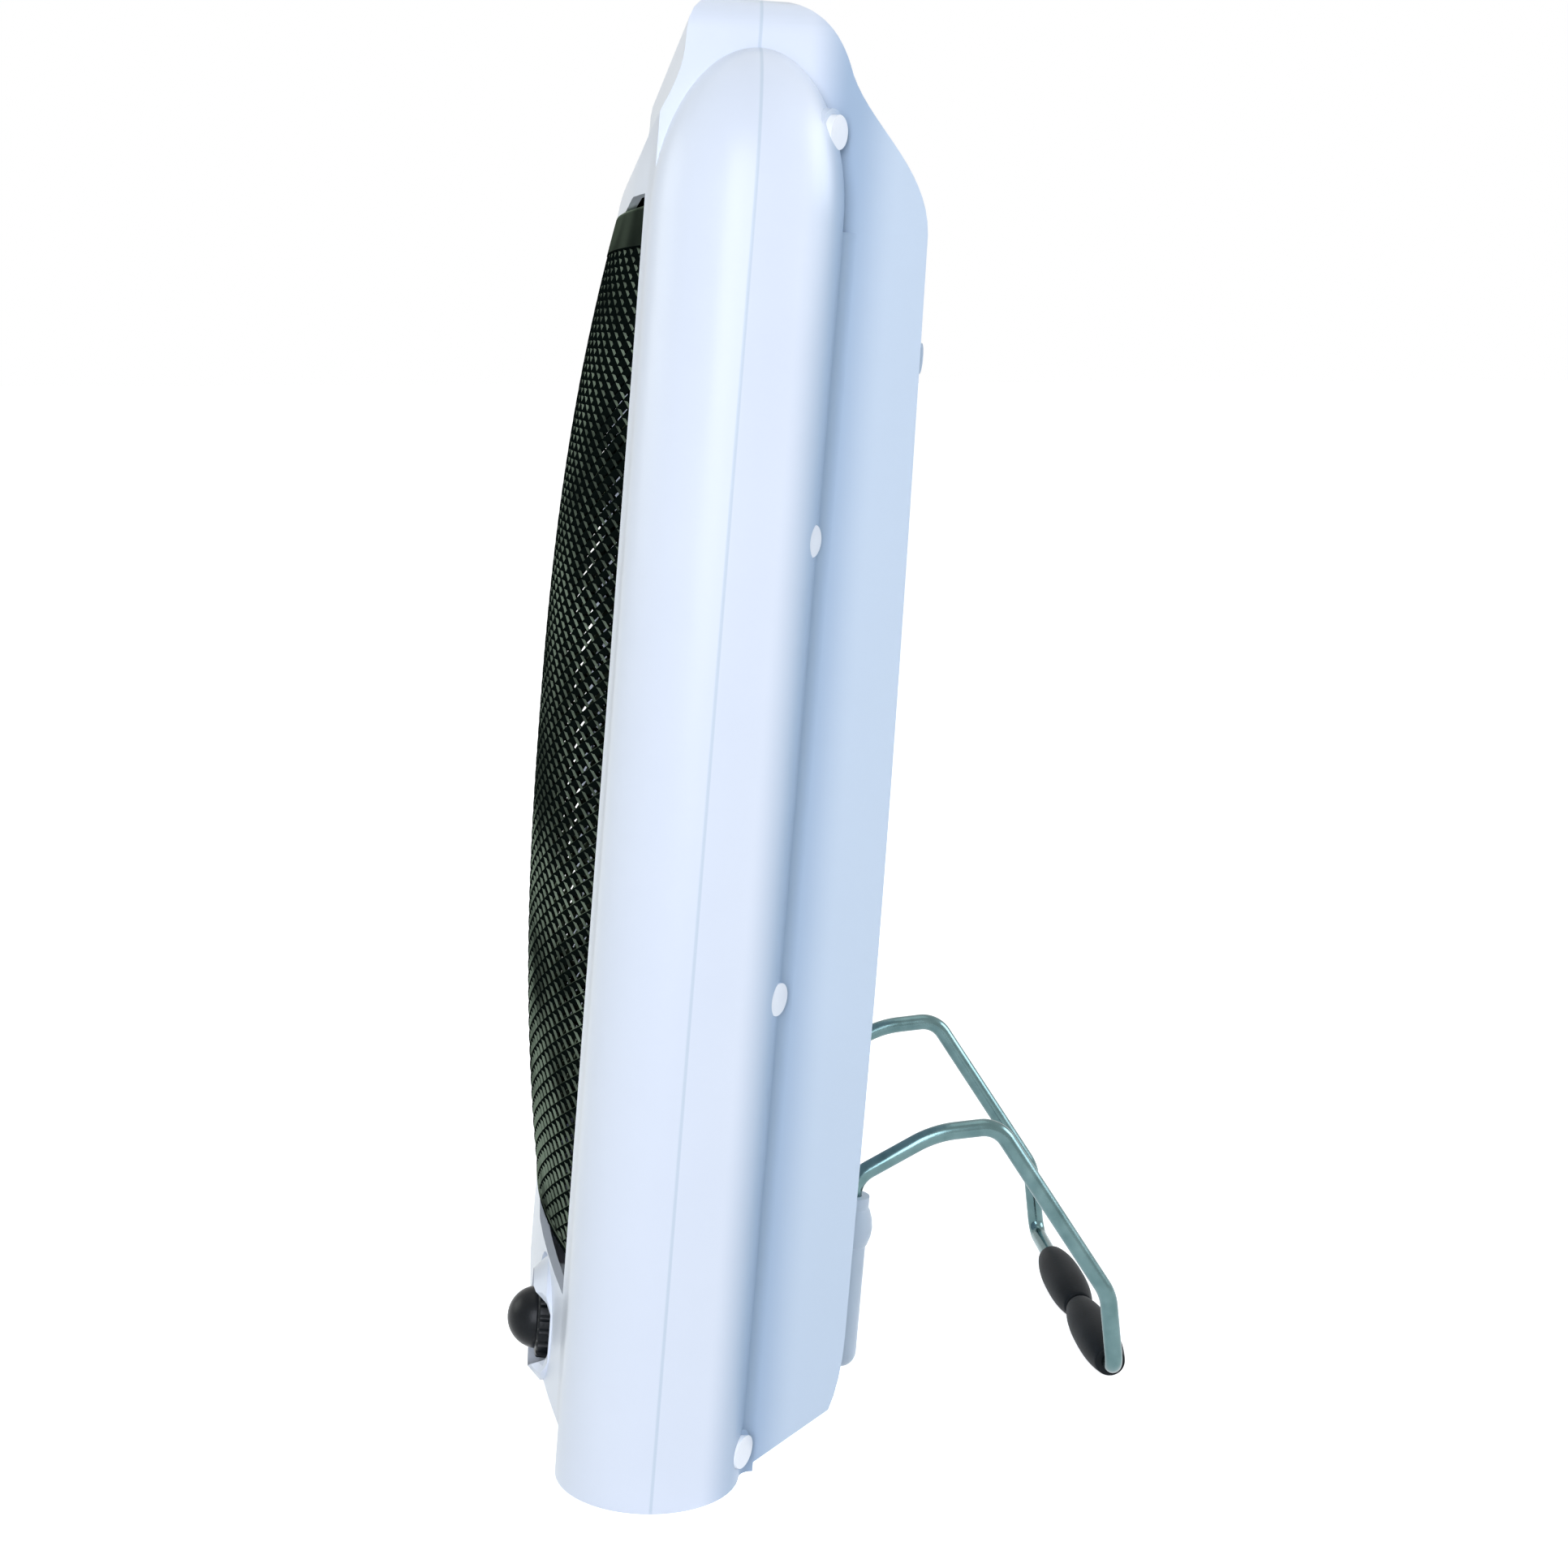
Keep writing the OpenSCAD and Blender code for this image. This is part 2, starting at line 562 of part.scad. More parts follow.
// Rotary switch behind the panel, its nut, the dial plate and the knob
switch_neck_r = 4.5;
plate_t = 1.2;
nut_t = 2;
knob_back = recess_floor + plate_t + 0.6;
nut_r = 7;
switch_neck_front = recess_floor + plate_t + nut_t + 1.5;
module at_knob(y = 0) leaned() translate([knob_x, -y, knob_z]) rotate([90, 0, 0]) children();
module dial_plate() color(black) at_knob(recess_floor) difference() {
    cylinder(h = plate_t, r = recess_r - 0.1);
    translate([0, 0, -1]) cylinder(h = plate_t + 2, r = switch_neck_r + 0.1);
}
module rotary_switch() color([0.85, 0.84, 0.8]) difference() {
    union() {
        at_knob(recess_floor - wall) translate([-switch_w / 2, -switch_w / 2, -switch_d])
            cube([switch_w, switch_w, switch_d]);
        at_knob(recess_floor - wall - 1) cylinder(h = switch_neck_front - recess_floor + wall + 1, r = switch_neck_r);
        at_knob(recess_floor - wall - switch_d + 1) for (x = [-8, 0, 8]) translate([x - 2, -0.4, -6])
            cube([4, 0.8, 6]);
    }
    at_knob(recess_floor - wall - shaft_seat) cylinder(h = big, r = shaft_r + fit);
}
shaft_seat = 10;
module switch_nut() color(steel) at_knob(recess_floor + plate_t) difference() {
    cylinder(h = nut_t, r = nut_r, $fn = 6);
    translate([0, 0, -1]) cylinder(h = nut_t + 2, r = switch_neck_r + 0.05);
}
knob_bore = 9;
module switch_shaft() color(steel) at_knob(recess_floor - wall - shaft_seat + seat)
    cylinder(h = knob_front - recess_floor + wall + shaft_seat - seat - 4, r = shaft_r);
module control_knob() color(black) at_knob() difference() {
    intersection() {
        translate([0, 0, knob_back]) cylinder(h = knob_front, r = knob_r);
        translate([0, 0, knob_front - knob_dome_r]) {
            sphere(knob_dome_r, $fn = 96);
            translate([0, 0, -big]) cylinder(h = big, r = knob_dome_r);
        }
    }
    for (a = [0:20:340]) rotate(a) translate([knob_r + 0.75, 0, knob_back + 1.5]) cylinder(h = big, r = 1.4);
    translate([0, 0, knob_back - 1]) cylinder(h = switch_neck_front + 1 - knob_back + 0.8, r = knob_bore);
    cylinder(h = knob_front - 4 + 0.1, r = shaft_r + 0.02);
}

// Tip-over switch on the base: a sprung plunger that the floor holds in
tip_y = 1;
tip_base = belly_z + wall;
tip_collar_z = tip_base + 9;
plunger_high = tip_base + tip_h + tip_travel + 0.5;
module rod_plunger_hole() translate([0, tip_y, -5]) cylinder(h = 40, r = plunger_r + 0.4);
module tip_switch_housing() color([0.75, 0.2, 0.15]) leaned() difference() {
    translate([-tip_w / 2, tip_y - tip_w / 2 + 3, tip_base]) cube([tip_w, tip_w - 6, tip_h]);
    translate([0, tip_y, tip_base - 1]) cylinder(h = tip_h + 1 - 2, r = plunger_r + 2.2);
    translate([0, tip_y, tip_base + tip_h - 3]) cylinder(h = 4, r = plunger_r + 0.1);
}
tip_ball = from_floor(tip_y * cos(lean), plunger_r);
module tip_switch_plunger() color([0.9, 0.9, 0.88]) leaned() {
    translate([0, tip_y, tip_ball[1]]) sphere(plunger_r);
    translate([0, tip_y, tip_ball[1]]) cylinder(h = plunger_high - tip_ball[1], r = plunger_r);
    translate([0, tip_y, tip_collar_z]) cylinder(h = 1.6, r = plunger_r + 1.8);
}
spring_low = tip_collar_z + 1.7;
spring_high = tip_base + tip_h - 3.1;
spring_turns = 5;
module tip_switch_spring() color(steel) leaned() translate([0, tip_y, 0]) sweep(concat(
    [for (i = [0:spring_turns * 8]) let (a = 45 * i) [(plunger_r + 1) * cos(a), (plunger_r + 1) * sin(a),
        spring_low + 0.5 + (spring_high - spring_low - 1) * i / spring_turns / 8]]), 0.4, 6);

// Bimetal cut-out on the back of the reflector
module thermal_cutout() color([0.2, 0.2, 0.2]) leaned()
    translate([18, trough_bottom + sheet_t, tube_high_z]) rotate([-90, 0, 0]) {
        cylinder(h = 4.5, r = 8);
        for (x = [-5, 5]) translate([x - 1.5, -3, 4.5]) cube([3, 6, 0.8]);
    }

// Terminal block on the inside of the back
block_x = -40;
block_z = 92;
block_y = back_low - wall - 1.2;
module terminal_block() color([0.92, 0.9, 0.84]) leaned() translate([block_x, block_y - 11, block_z])
    difference() {
        cube([34, 11, 16]);
        for (x = [6, 17, 28]) {
            translate([x, -1, 8]) rotate([-90, 0, 0]) cylinder(h = 5, r = 2);
        }
    }

// Leads inside the casing, each along points chosen by hand
lead_r = 1.2;
studs_x = tube_half_l - cap_seat + cap_l + 1.5;
spade_y = switch_d - recess_floor + wall + 5.1;
module lead(path, tint) color(tint) leaned() sweep(path, lead_r, 8, [0.31, 0.11, 0.94]);
module switch_lead() lead([[-23, 40, block_z - 0.1], [-23, 40, 84], [-18, 38, 74], [-4, 34, 64],
    [16, 28, 54], [38, 22, 42], [51, 17, 31], [57, 13, 26], [58, 9.5, knob_z], [58, spade_y, knob_z]],
    [0.5, 0.3, 0.15]);
module lower_tube_lead() lead([[74, spade_y, knob_z], [74, 11, 25.5], [78, 14, 31], [85, 14, 42], [92, 10, 53],
    [studs_x - 0.5, tube_y + 1, 64], [studs_x, tube_y, 76], [studs_x, tube_y, tube_low_z - 2.2]], [0.7, 0.12, 0.1]);
module upper_tube_lead() lead([[66, spade_y, knob_z], [66, 12, 26], [71, 20, 33], [82, 22, 44], [92, 20, 54],
    [studs_x - 0.5, 17, 66], [studs_x, 16, 78], [studs_x, 16, 200], [studs_x, 12, 228], [studs_x, 6.2, 244],
    [studs_x, tube_y, tube_high_z - 2.2]], [0.7, 0.12, 0.1]);
module neutral_lead() lead([[-33, 40, block_z - 0.1], [-33, 40, 85], [-42, 38, 77], [-60, 31, 68], [-79, 20, 58],
    [-92, 10, 58], [-studs_x, 6, 68], [-studs_x, tube_y, 80], [-studs_x, tube_y, tube_low_z - 2.2]],
    [0.15, 0.25, 0.6]);
module link_lead() lead([[-studs_x, tube_y, tube_low_z + 2.2], [-studs_x, tube_y, 180],
    [-studs_x, tube_y, tube_high_z - 2.2]], [0.15, 0.25, 0.6]);

// Gland for the cord in the back
module cord_gland() color(white * 0.9) leaned() translate([0, back_low, gland_z]) rotate([-90, 0, 0])
    difference() {
        union() {
            translate([0, 0, -wall - 2.6]) cylinder(h = 2, r = cord_r + 3.6);
            translate([0, 0, -wall - 2.6]) cylinder(h = wall + 5.4, r = cord_r + 2.3);
            translate([0, 0, seat]) cylinder(h = 2.5, r = cord_r + 4.4);
        }
        translate([0, 0, -wall - 4]) cylinder(h = wall + 9, r = cord_r);
    }

// Points of a round bend of radius r at corner b, between the straights from a and to c
function bend(a, b, c, r, n = 6) = let (d = unit(b - a), e = unit(c - b), angle = acos(d * e),
    inward = unit(e - d * (d * e)), start = b - d * r * tan(angle / 2), centre = start + inward * r)
    [for (i = [0:n]) centre + r * (sin(angle * i / n) * d - cos(angle * i / n) * inward)];
function bent_path(p, bends) = [for (i = [0:len(p) - 1]) each i == 0 || i == len(p) - 1 ? [p[i]]
    : bend(p[i - 1], p[i], p[i + 1], bends[i])];

// Corners of a stand leg as [depth, height] of the casing, from the socket to the bar
leg_corners = [[socket_y, socket_low + 2.3], [socket_y, socket_high + 5], from_floor(84, 76.5),
    from_floor(102, 78.6), from_floor(bar_y - 2.4, 28.7), from_floor(bar_y, sleeve_r)];
leg_bends = [0, 9, 30, 8, 14, 5];
function leg(s) = [for (c = leg_corners) [s * leg_x, c[0], c[1]]];
// The ends that slide in the sockets are true cylinders, cut off below the first bend
pin_end = socket_high - 2;
module wire_stand() color(steel) leaned() {
    both_sides() translate([leg_x, socket_y, socket_low + 2.3])
        cylinder(h = pin_end - socket_low - 2.3, r = wire_r);
    path = bent_path(concat(leg(1), reverse(leg(-1))), concat(leg_bends, reverse(leg_bends)));
    n = len(path);
    sweep([for (i = [0:n - 1]) i == 0 || i == n - 1 ? [path[i][0], path[i][1], pin_end] : path[i]],
        wire_r, 12, [1, 0.9, 0.5]);
}

// Barrel-shaped rubber sleeve that starts at x
module sleeve(x) color(black) translate([x, shift_y + bar_y, sleeve_r]) rotate([0, 90, 0]) difference() {
    rotate_extrude() polygon(concat([[0, 0]],
        [for (i = [0:8]) let (t = i / 4 - 1) [sleeve_r - 0.7 * t * t, (i / 8) * sleeve_l]], [[0, sleeve_l]]));
    translate([0, 0, -1]) cylinder(h = sleeve_l + 2, r = wire_r + 0.04);
}
module right_sleeve() sleeve(sleeve_gap_x + 1);
module left_sleeve() sleeve(sleeve_gap_x - 1 - sleeve_l);

// Fasteners: a pan head, a shank and a cross slot
module screw(head_r, l) difference() {
    union() {
        translate([0, 0, -l]) cylinder(h = l, r = screw_r);
        cylinder(h = 2.2, r = head_r);
    }
    for (a = [0, 90]) rotate(a) translate([-2, -0.35, 1]) cube([4, 0.7, 3]);
}
module shell_screws() color(steel) leaned() both_sides() for (z = screw_zs)
    translate([screw_x, head_y, z]) rotate([-90, 0, 0]) screw(3.4, head_y + pillar_r * 0.62);
module screw_caps() color(white) leaned() both_sides() for (i = [0:3])
    intersection() {
        rod_y(screw_x, screw_zs[i], plug_y, plug_tip + 2, plug_r);
        plug_side(plug_drops[i], screw_zs[i]);
    }
module bracket_screws() color(steel) leaned() both_sides() for (z = bracket_screw_zs)
    translate([bracket_screw_x, bracket_back - sheet_t, z]) rotate([90, 0, 0]) screw(3, 5);

front_shell();
rear_shell();
mesh_grille();
grille_frame();
reflector();
left_bracket();
right_bracket();
lower_quartz_tube();
upper_quartz_tube();
lower_heating_coil();
upper_heating_coil();
lower_left_cap();
lower_right_cap();
upper_left_cap();
upper_right_cap();
dial_plate();
control_knob();
switch_shaft();
rotary_switch();
switch_nut();
tip_switch_housing();
tip_switch_plunger();
tip_switch_spring();
thermal_cutout();
terminal_block();
switch_lead();
lower_tube_lead();
upper_tube_lead();
neutral_lead();
link_lead();
cord_gland();
wire_stand();
right_sleeve();
left_sleeve();
shell_screws();
screw_caps();
bracket_screws();
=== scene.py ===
import bmesh
import bpy
import json
import math
import numpy as np
from mathutils import Matrix, Vector

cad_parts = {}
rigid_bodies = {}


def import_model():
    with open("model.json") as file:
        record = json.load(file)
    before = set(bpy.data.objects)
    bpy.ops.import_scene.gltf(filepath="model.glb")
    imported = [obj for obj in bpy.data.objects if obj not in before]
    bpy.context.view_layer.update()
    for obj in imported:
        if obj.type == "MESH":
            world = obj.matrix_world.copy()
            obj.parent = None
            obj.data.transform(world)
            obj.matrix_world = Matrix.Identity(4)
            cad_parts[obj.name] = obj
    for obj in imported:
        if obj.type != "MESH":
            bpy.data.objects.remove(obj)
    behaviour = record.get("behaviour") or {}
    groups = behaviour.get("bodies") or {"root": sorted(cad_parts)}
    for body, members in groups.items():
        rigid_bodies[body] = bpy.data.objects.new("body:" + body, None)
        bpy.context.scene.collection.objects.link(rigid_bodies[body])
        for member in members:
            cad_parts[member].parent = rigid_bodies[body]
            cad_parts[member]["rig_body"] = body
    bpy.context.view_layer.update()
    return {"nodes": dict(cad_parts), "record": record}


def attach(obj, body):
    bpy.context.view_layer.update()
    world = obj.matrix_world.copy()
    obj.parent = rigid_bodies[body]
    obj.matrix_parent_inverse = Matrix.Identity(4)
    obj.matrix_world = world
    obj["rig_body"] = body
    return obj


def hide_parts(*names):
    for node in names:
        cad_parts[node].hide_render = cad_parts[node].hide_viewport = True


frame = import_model()
print("frame loaded:", len(frame["nodes"]), "CAD nodes")

# Places are worked out in casing millimetres: x across, v depth behind the seam, w height.
casing = {"leanDegrees": 4.3, "shiftY": -53.2017}
leanCos = math.cos(math.radians(casing["leanDegrees"]))
leanSin = math.sin(math.radians(casing["leanDegrees"]))


def toRow(x, v, w):
    # turn (v, w) by the lean about X, move along Y, and go from millimetres to metres
    x, v, w = np.broadcast_arrays(np.asarray(x, float), v, w)
    y = casing["shiftY"] + v * leanCos + w * leanSin
    return np.stack([x, y, w * leanCos - v * leanSin], -1) / 1000


def fromFloor(y, z):
    # the turn of toRow undone, for a point given from the foot of the seam
    return y * leanCos - z * leanSin, y * leanSin + z * leanCos


cameraSetup = {"place": (0.72559, -0.0787, 0.2937), "turn": 89.98, "dip": 6.315, "roll": -0.21,
               "lens": 55.596, "shiftX": 0.15, "shiftY": -0.095}
cameraData = bpy.data.cameras.new("photoCamera")
cameraData.sensor_fit = "HORIZONTAL"
cameraData.sensor_width = 36
cameraData.lens = cameraSetup["lens"]
cameraData.shift_x = cameraSetup["shiftX"]
cameraData.shift_y = cameraSetup["shiftY"]
cameraData.clip_start = 0.01
camera = bpy.data.objects.new("photoCamera", cameraData)
bpy.context.scene.collection.objects.link(camera)
# three axes of the camera from its turn about Z and its dip, then rolled about the line of sight
turn, dip = math.radians(cameraSetup["turn"]), math.radians(cameraSetup["dip"])
backward = Vector((math.sin(turn) * math.cos(dip), -math.cos(turn) * math.cos(dip), math.sin(dip)))
rightward = Vector((0, 0, 1)).cross(backward).normalized()
upward = backward.cross(rightward)
roll = Matrix.Rotation(math.radians(cameraSetup["roll"]), 3, "Z")
aim = Matrix((rightward, upward, backward)).transposed() @ roll
camera.matrix_world = Matrix.Translation(cameraSetup["place"]) @ aim.to_4x4()
bpy.context.scene.camera = camera
bpy.context.scene.view_settings.view_transform = "Standard"
print("camera set")


def linear(hexText):
    # the sRGB curve undone, channel by channel
    parts = [int(hexText[i:i + 2], 16) / 255 for i in (0, 2, 4)]
    return [c / 12.92 if c <= 0.04045 else ((c + 0.055) / 1.055) ** 2.4 for c in parts] + [1.0]


mixShare, mixFrom, mixTo, mixResult = 0, 6, 7, 2  # sockets of a Mix node for colours


def addNode(tree, kind, settings=(), links=()):
    # settings name an attribute of the node or an input, links an input and the socket that feeds it
    node = tree.nodes.new(kind)
    for key, value in dict(settings).items():
        if isinstance(key, str) and hasattr(node, key):
            setattr(node, key, value)
        else:
            node.inputs[key].default_value = value
    for key, socket in dict(links).items():
        tree.links.new(node.inputs[key], socket)
    return node


def newFinish(name, settings):
    # an empty finish: its material, node tree and shader, and the place on the object in metres
    material = bpy.data.materials.new(name)
    material.use_nodes = True
    tree = material.node_tree
    shader = tree.nodes["Principled BSDF"]
    for key, value in settings.items():
        shader.inputs[key].default_value = value
    place = addNode(tree, "ShaderNodeTexCoord").outputs["Object"]
    return material, tree, shader, place


def dress(tree, shader, shade, low, high, relief=None, depth=0.0):
    # colour between two hex values by one pattern, and relief of a depth in metres by another
    mix = addNode(tree, "ShaderNodeMix",
                  {"data_type": "RGBA", mixFrom: linear(low), mixTo: linear(high)}, {mixShare: shade})
    tree.links.new(shader.inputs["Base Color"], mix.outputs[mixResult])
    if relief is not None:
        bump = addNode(tree, "ShaderNodeBump", {"Distance": depth, "Strength": 1.0},
                       {"Height": relief})
        tree.links.new(shader.inputs["Normal"], bump.outputs["Normal"])
    return mix.outputs[mixResult]


# Tones by depth behind the seam, in metres: where each starts, where it is full, and its colour
# the seam line is a dark joint; the groove and housing tones are painted shade, darkest in the groove
# behind each pillar
seamLineAndPaintedShade = {"seamLine": (0.0006, 0.0002, "D4DEEB"), "grooveShade": (0.012, 0.024, "A5B9D0"),
               "housing": (0.0255, 0.038, "CBD8E7")}


def mouldedAbs(name, low, high, roughness):
    # Moulded ABS from a polished tool: glossy, with an orange peel some 6 mm long, and cloudy in
    # patches of 60 mm. It gives the eye a fine line at the seam, painted shade in the groove behind
    # each pillar, and painted shade that makes the housing behind the groove darker.
    material, tree, shader, place = newFinish(name, {"Roughness": roughness, "IOR": 1.54,
                                                     "Specular IOR Level": 0.28})
    cloud = addNode(tree, "ShaderNodeTexNoise", {"Scale": 1000 / 60, "Detail": 3}, {"Vector": place})
    peel = addNode(tree, "ShaderNodeTexNoise", {"Scale": 1000 / 6, "Detail": 2}, {"Vector": place})
    tone = dress(tree, shader, cloud.outputs["Fac"], low, high, peel.outputs["Fac"], 0.00002)
    # depth behind the seam in metres, along the leaning v axis
    depth = addNode(tree, "ShaderNodeVectorMath",
                    {"operation": "DOT_PRODUCT", 1: (0, leanCos, -leanSin)}, {0: place}).outputs["Value"]
    seamDepth = casing["shiftY"] / 1000 * leanCos
    behind = addNode(tree, "ShaderNodeMath", {"operation": "SUBTRACT", 1: seamDepth},
                     {0: depth}).outputs[0]
    offSeam = addNode(tree, "ShaderNodeMath", {"operation": "ABSOLUTE"}, {0: behind}).outputs[0]
    # the seam's dark joint, then painted shade in the groove and over the housing beyond it
    for band, (start, full, colour) in seamLineAndPaintedShade.items():
        share = addNode(tree, "ShaderNodeMapRange",
                        {"interpolation_type": "SMOOTHSTEP", "From Min": start, "From Max": full},
                        {"Value": offSeam if band == "seamLine" else behind}).outputs[0]
        tone = addNode(tree, "ShaderNodeMix", {"data_type": "RGBA", mixTo: linear(colour)},
                       {mixShare: share, mixFrom: tone}).outputs[mixResult]
    tree.links.new(shader.inputs["Base Color"], tone)
    wear = addNode(tree, "ShaderNodeMapRange",
                   {"To Min": roughness - 0.04, "To Max": roughness + 0.07},
                   {"Value": cloud.outputs["Fac"]})
    tree.links.new(shader.inputs["Roughness"], wear.outputs[0])
    return material


def stoveEnamel():
    # Steel dipped in black stove enamel, gone dull with heat, with a flow texture of about 0.8 mm.
    # Grey-green dust lies on the faces that look up, in patches some 35 mm wide.
    material, tree, shader, place = newFinish("blackStoveEnamel", {"Roughness": 0.6, "IOR": 1.5,
                                                                   "Specular IOR Level": 0.0})
    flow = addNode(tree, "ShaderNodeTexNoise", {"Scale": 1000 / 0.8, "Detail": 2},
                   {"Vector": place}).outputs["Fac"]
    black = dress(tree, shader, flow, "080D0C", "111816", flow, 0.00003)
    normal = addNode(tree, "ShaderNodeNewGeometry").outputs["Normal"]
    upward = addNode(tree, "ShaderNodeSeparateXYZ", {}, {0: normal}).outputs["Z"]
    lying = addNode(tree, "ShaderNodeMapRange", {"From Min": 0.1, "From Max": 0.6}, {"Value": upward})
    patch = addNode(tree, "ShaderNodeTexNoise", {"Scale": 1000 / 35, "Detail": 2}, {"Vector": place})
    thick = addNode(tree, "ShaderNodeMapRange",
                    {"From Min": 0.38, "From Max": 0.6, "To Min": 0.15, "To Max": 0.85},
                    {"Value": patch.outputs["Fac"]})
    dust = addNode(tree, "ShaderNodeMath", {"operation": "MULTIPLY"},
                   {0: lying.outputs[0], 1: thick.outputs[0]})
    dusty = addNode(tree, "ShaderNodeMix", {"data_type": "RGBA", mixTo: linear("8C9A86")},
                    {mixShare: dust.outputs[0], mixFrom: black})
    tree.links.new(shader.inputs["Base Color"], dusty.outputs[mixResult])
    return material


def rolledAluminium():
    # Bright rolled aluminium: rolling lines run along the heater, about 0.5 mm apart
    material, tree, shader, place = newFinish("rolledAluminium", {"Metallic": 1.0, "Roughness": 0.45})
    lines = addNode(tree, "ShaderNodeMapping", {"Scale": (20, 2000, 2000)}, {"Vector": place})
    streak = addNode(tree, "ShaderNodeTexNoise", {"Scale": 1.0, "Detail": 3},
                     {"Vector": lines.outputs["Vector"]}).outputs["Fac"]
    # its colours are painted dark and grey-green, as painted shade for the inside of the heater behind
    # the mesh
    dress(tree, shader, streak, "5A625A", "7C857B", streak, 0.00002)
    return material


def zincSheet():
    # Zinc-plated steel sheet: small crystals about 3 mm across, each a little lighter or duller
    material, tree, shader, place = newFinish("zincPlatedSheet", {"Metallic": 1.0, "Roughness": 0.35})
    crystal = addNode(tree, "ShaderNodeTexVoronoi", {"Scale": 1000 / 3},
                      {"Vector": place}).outputs["Color"]
    dress(tree, shader, crystal, "5F6660", "848B84")
    dull = addNode(tree, "ShaderNodeMapRange", {"To Min": 0.28, "To Max": 0.45}, {"Value": crystal})
    tree.links.new(shader.inputs["Roughness"], dull.outputs[0])
    return material


def milkyQuartz():
    # Drawn milky quartz: whitish glass with draw lines along the tube, about 1 mm apart
    material, tree, shader, place = newFinish("milkyQuartz", {"Roughness": 0.25, "IOR": 1.46,
                                                              "Transmission Weight": 0.7})
    lines = addNode(tree, "ShaderNodeMapping", {"Scale": (15, 900, 900)}, {"Vector": place})
    draw = addNode(tree, "ShaderNodeTexNoise", {"Scale": 1.0, "Detail": 2},
                   {"Vector": lines.outputs["Vector"]}).outputs["Fac"]
    dress(tree, shader, draw, "D8DCDA", "F0F2EF", draw, 0.00003)
    return material


def grained(name, settings, low, high, grainMm, detail, depth):
    # A plain finish: one grain of the given size gives both its tones and its relief
    material, tree, shader, place = newFinish(name, settings)
    grain = addNode(tree, "ShaderNodeTexNoise", {"Scale": 1000 / grainMm, "Detail": detail},
                    {"Vector": place}).outputs["Fac"]
    dress(tree, shader, grain, low, high, grain, depth)
    return material


def speckled(name, low, high, roughness, grainMm):
    # Phenolic, nylon and other plain mouldings: the grain of their filler shows
    return grained(name, {"Roughness": roughness, "IOR": 1.53}, low, high, grainMm, 4, 0.00003)


def siliconeLead(name, low, high):
    # Extruded silicone insulation: soft sheen, faint dust, slightly wavy surface 2 mm long
    return grained(name, {"Roughness": 0.5, "IOR": 1.41}, low, high, 2, 3, 0.00005)


def zincWire():
    # Bright zinc-plated drawn wire: cool grey with a greenish cast, hazy in patches of 5 mm, with
    # drawing marks some 0.4 mm long
    material, tree, shader, place = newFinish("brightZincWire", {"Metallic": 1.0, "Roughness": 0.2})
    haze = addNode(tree, "ShaderNodeTexNoise", {"Scale": 1000 / 5, "Detail": 4},
                   {"Vector": place}).outputs["Fac"]
    fine = addNode(tree, "ShaderNodeTexNoise", {"Scale": 1000 / 0.4, "Detail": 1}, {"Vector": place})
    dress(tree, shader, haze, "4A6567", "758F90", fine.outputs["Fac"], 0.00001)
    dull = addNode(tree, "ShaderNodeMapRange", {"To Min": 0.14, "To Max": 0.3}, {"Value": haze})
    tree.links.new(shader.inputs["Roughness"], dull.outputs[0])
    return material


def sleeveRubber():
    # Moulded black rubber: satin, with a matt bloom in patches of about 8 mm and a 0.6 mm grain
    material, tree, shader, place = newFinish("blackRubber", {"Roughness": 0.55, "IOR": 1.52,
                                                              "Specular IOR Level": 0.1})
    bloom = addNode(tree, "ShaderNodeTexNoise", {"Scale": 1000 / 8, "Detail": 3}, {"Vector": place})
    grain = addNode(tree, "ShaderNodeTexNoise", {"Scale": 1000 / 0.6, "Detail": 2}, {"Vector": place})
    dress(tree, shader, bloom.outputs["Fac"], "0B0D0F", "1B1F22", grain.outputs["Fac"], 0.00005)
    return material


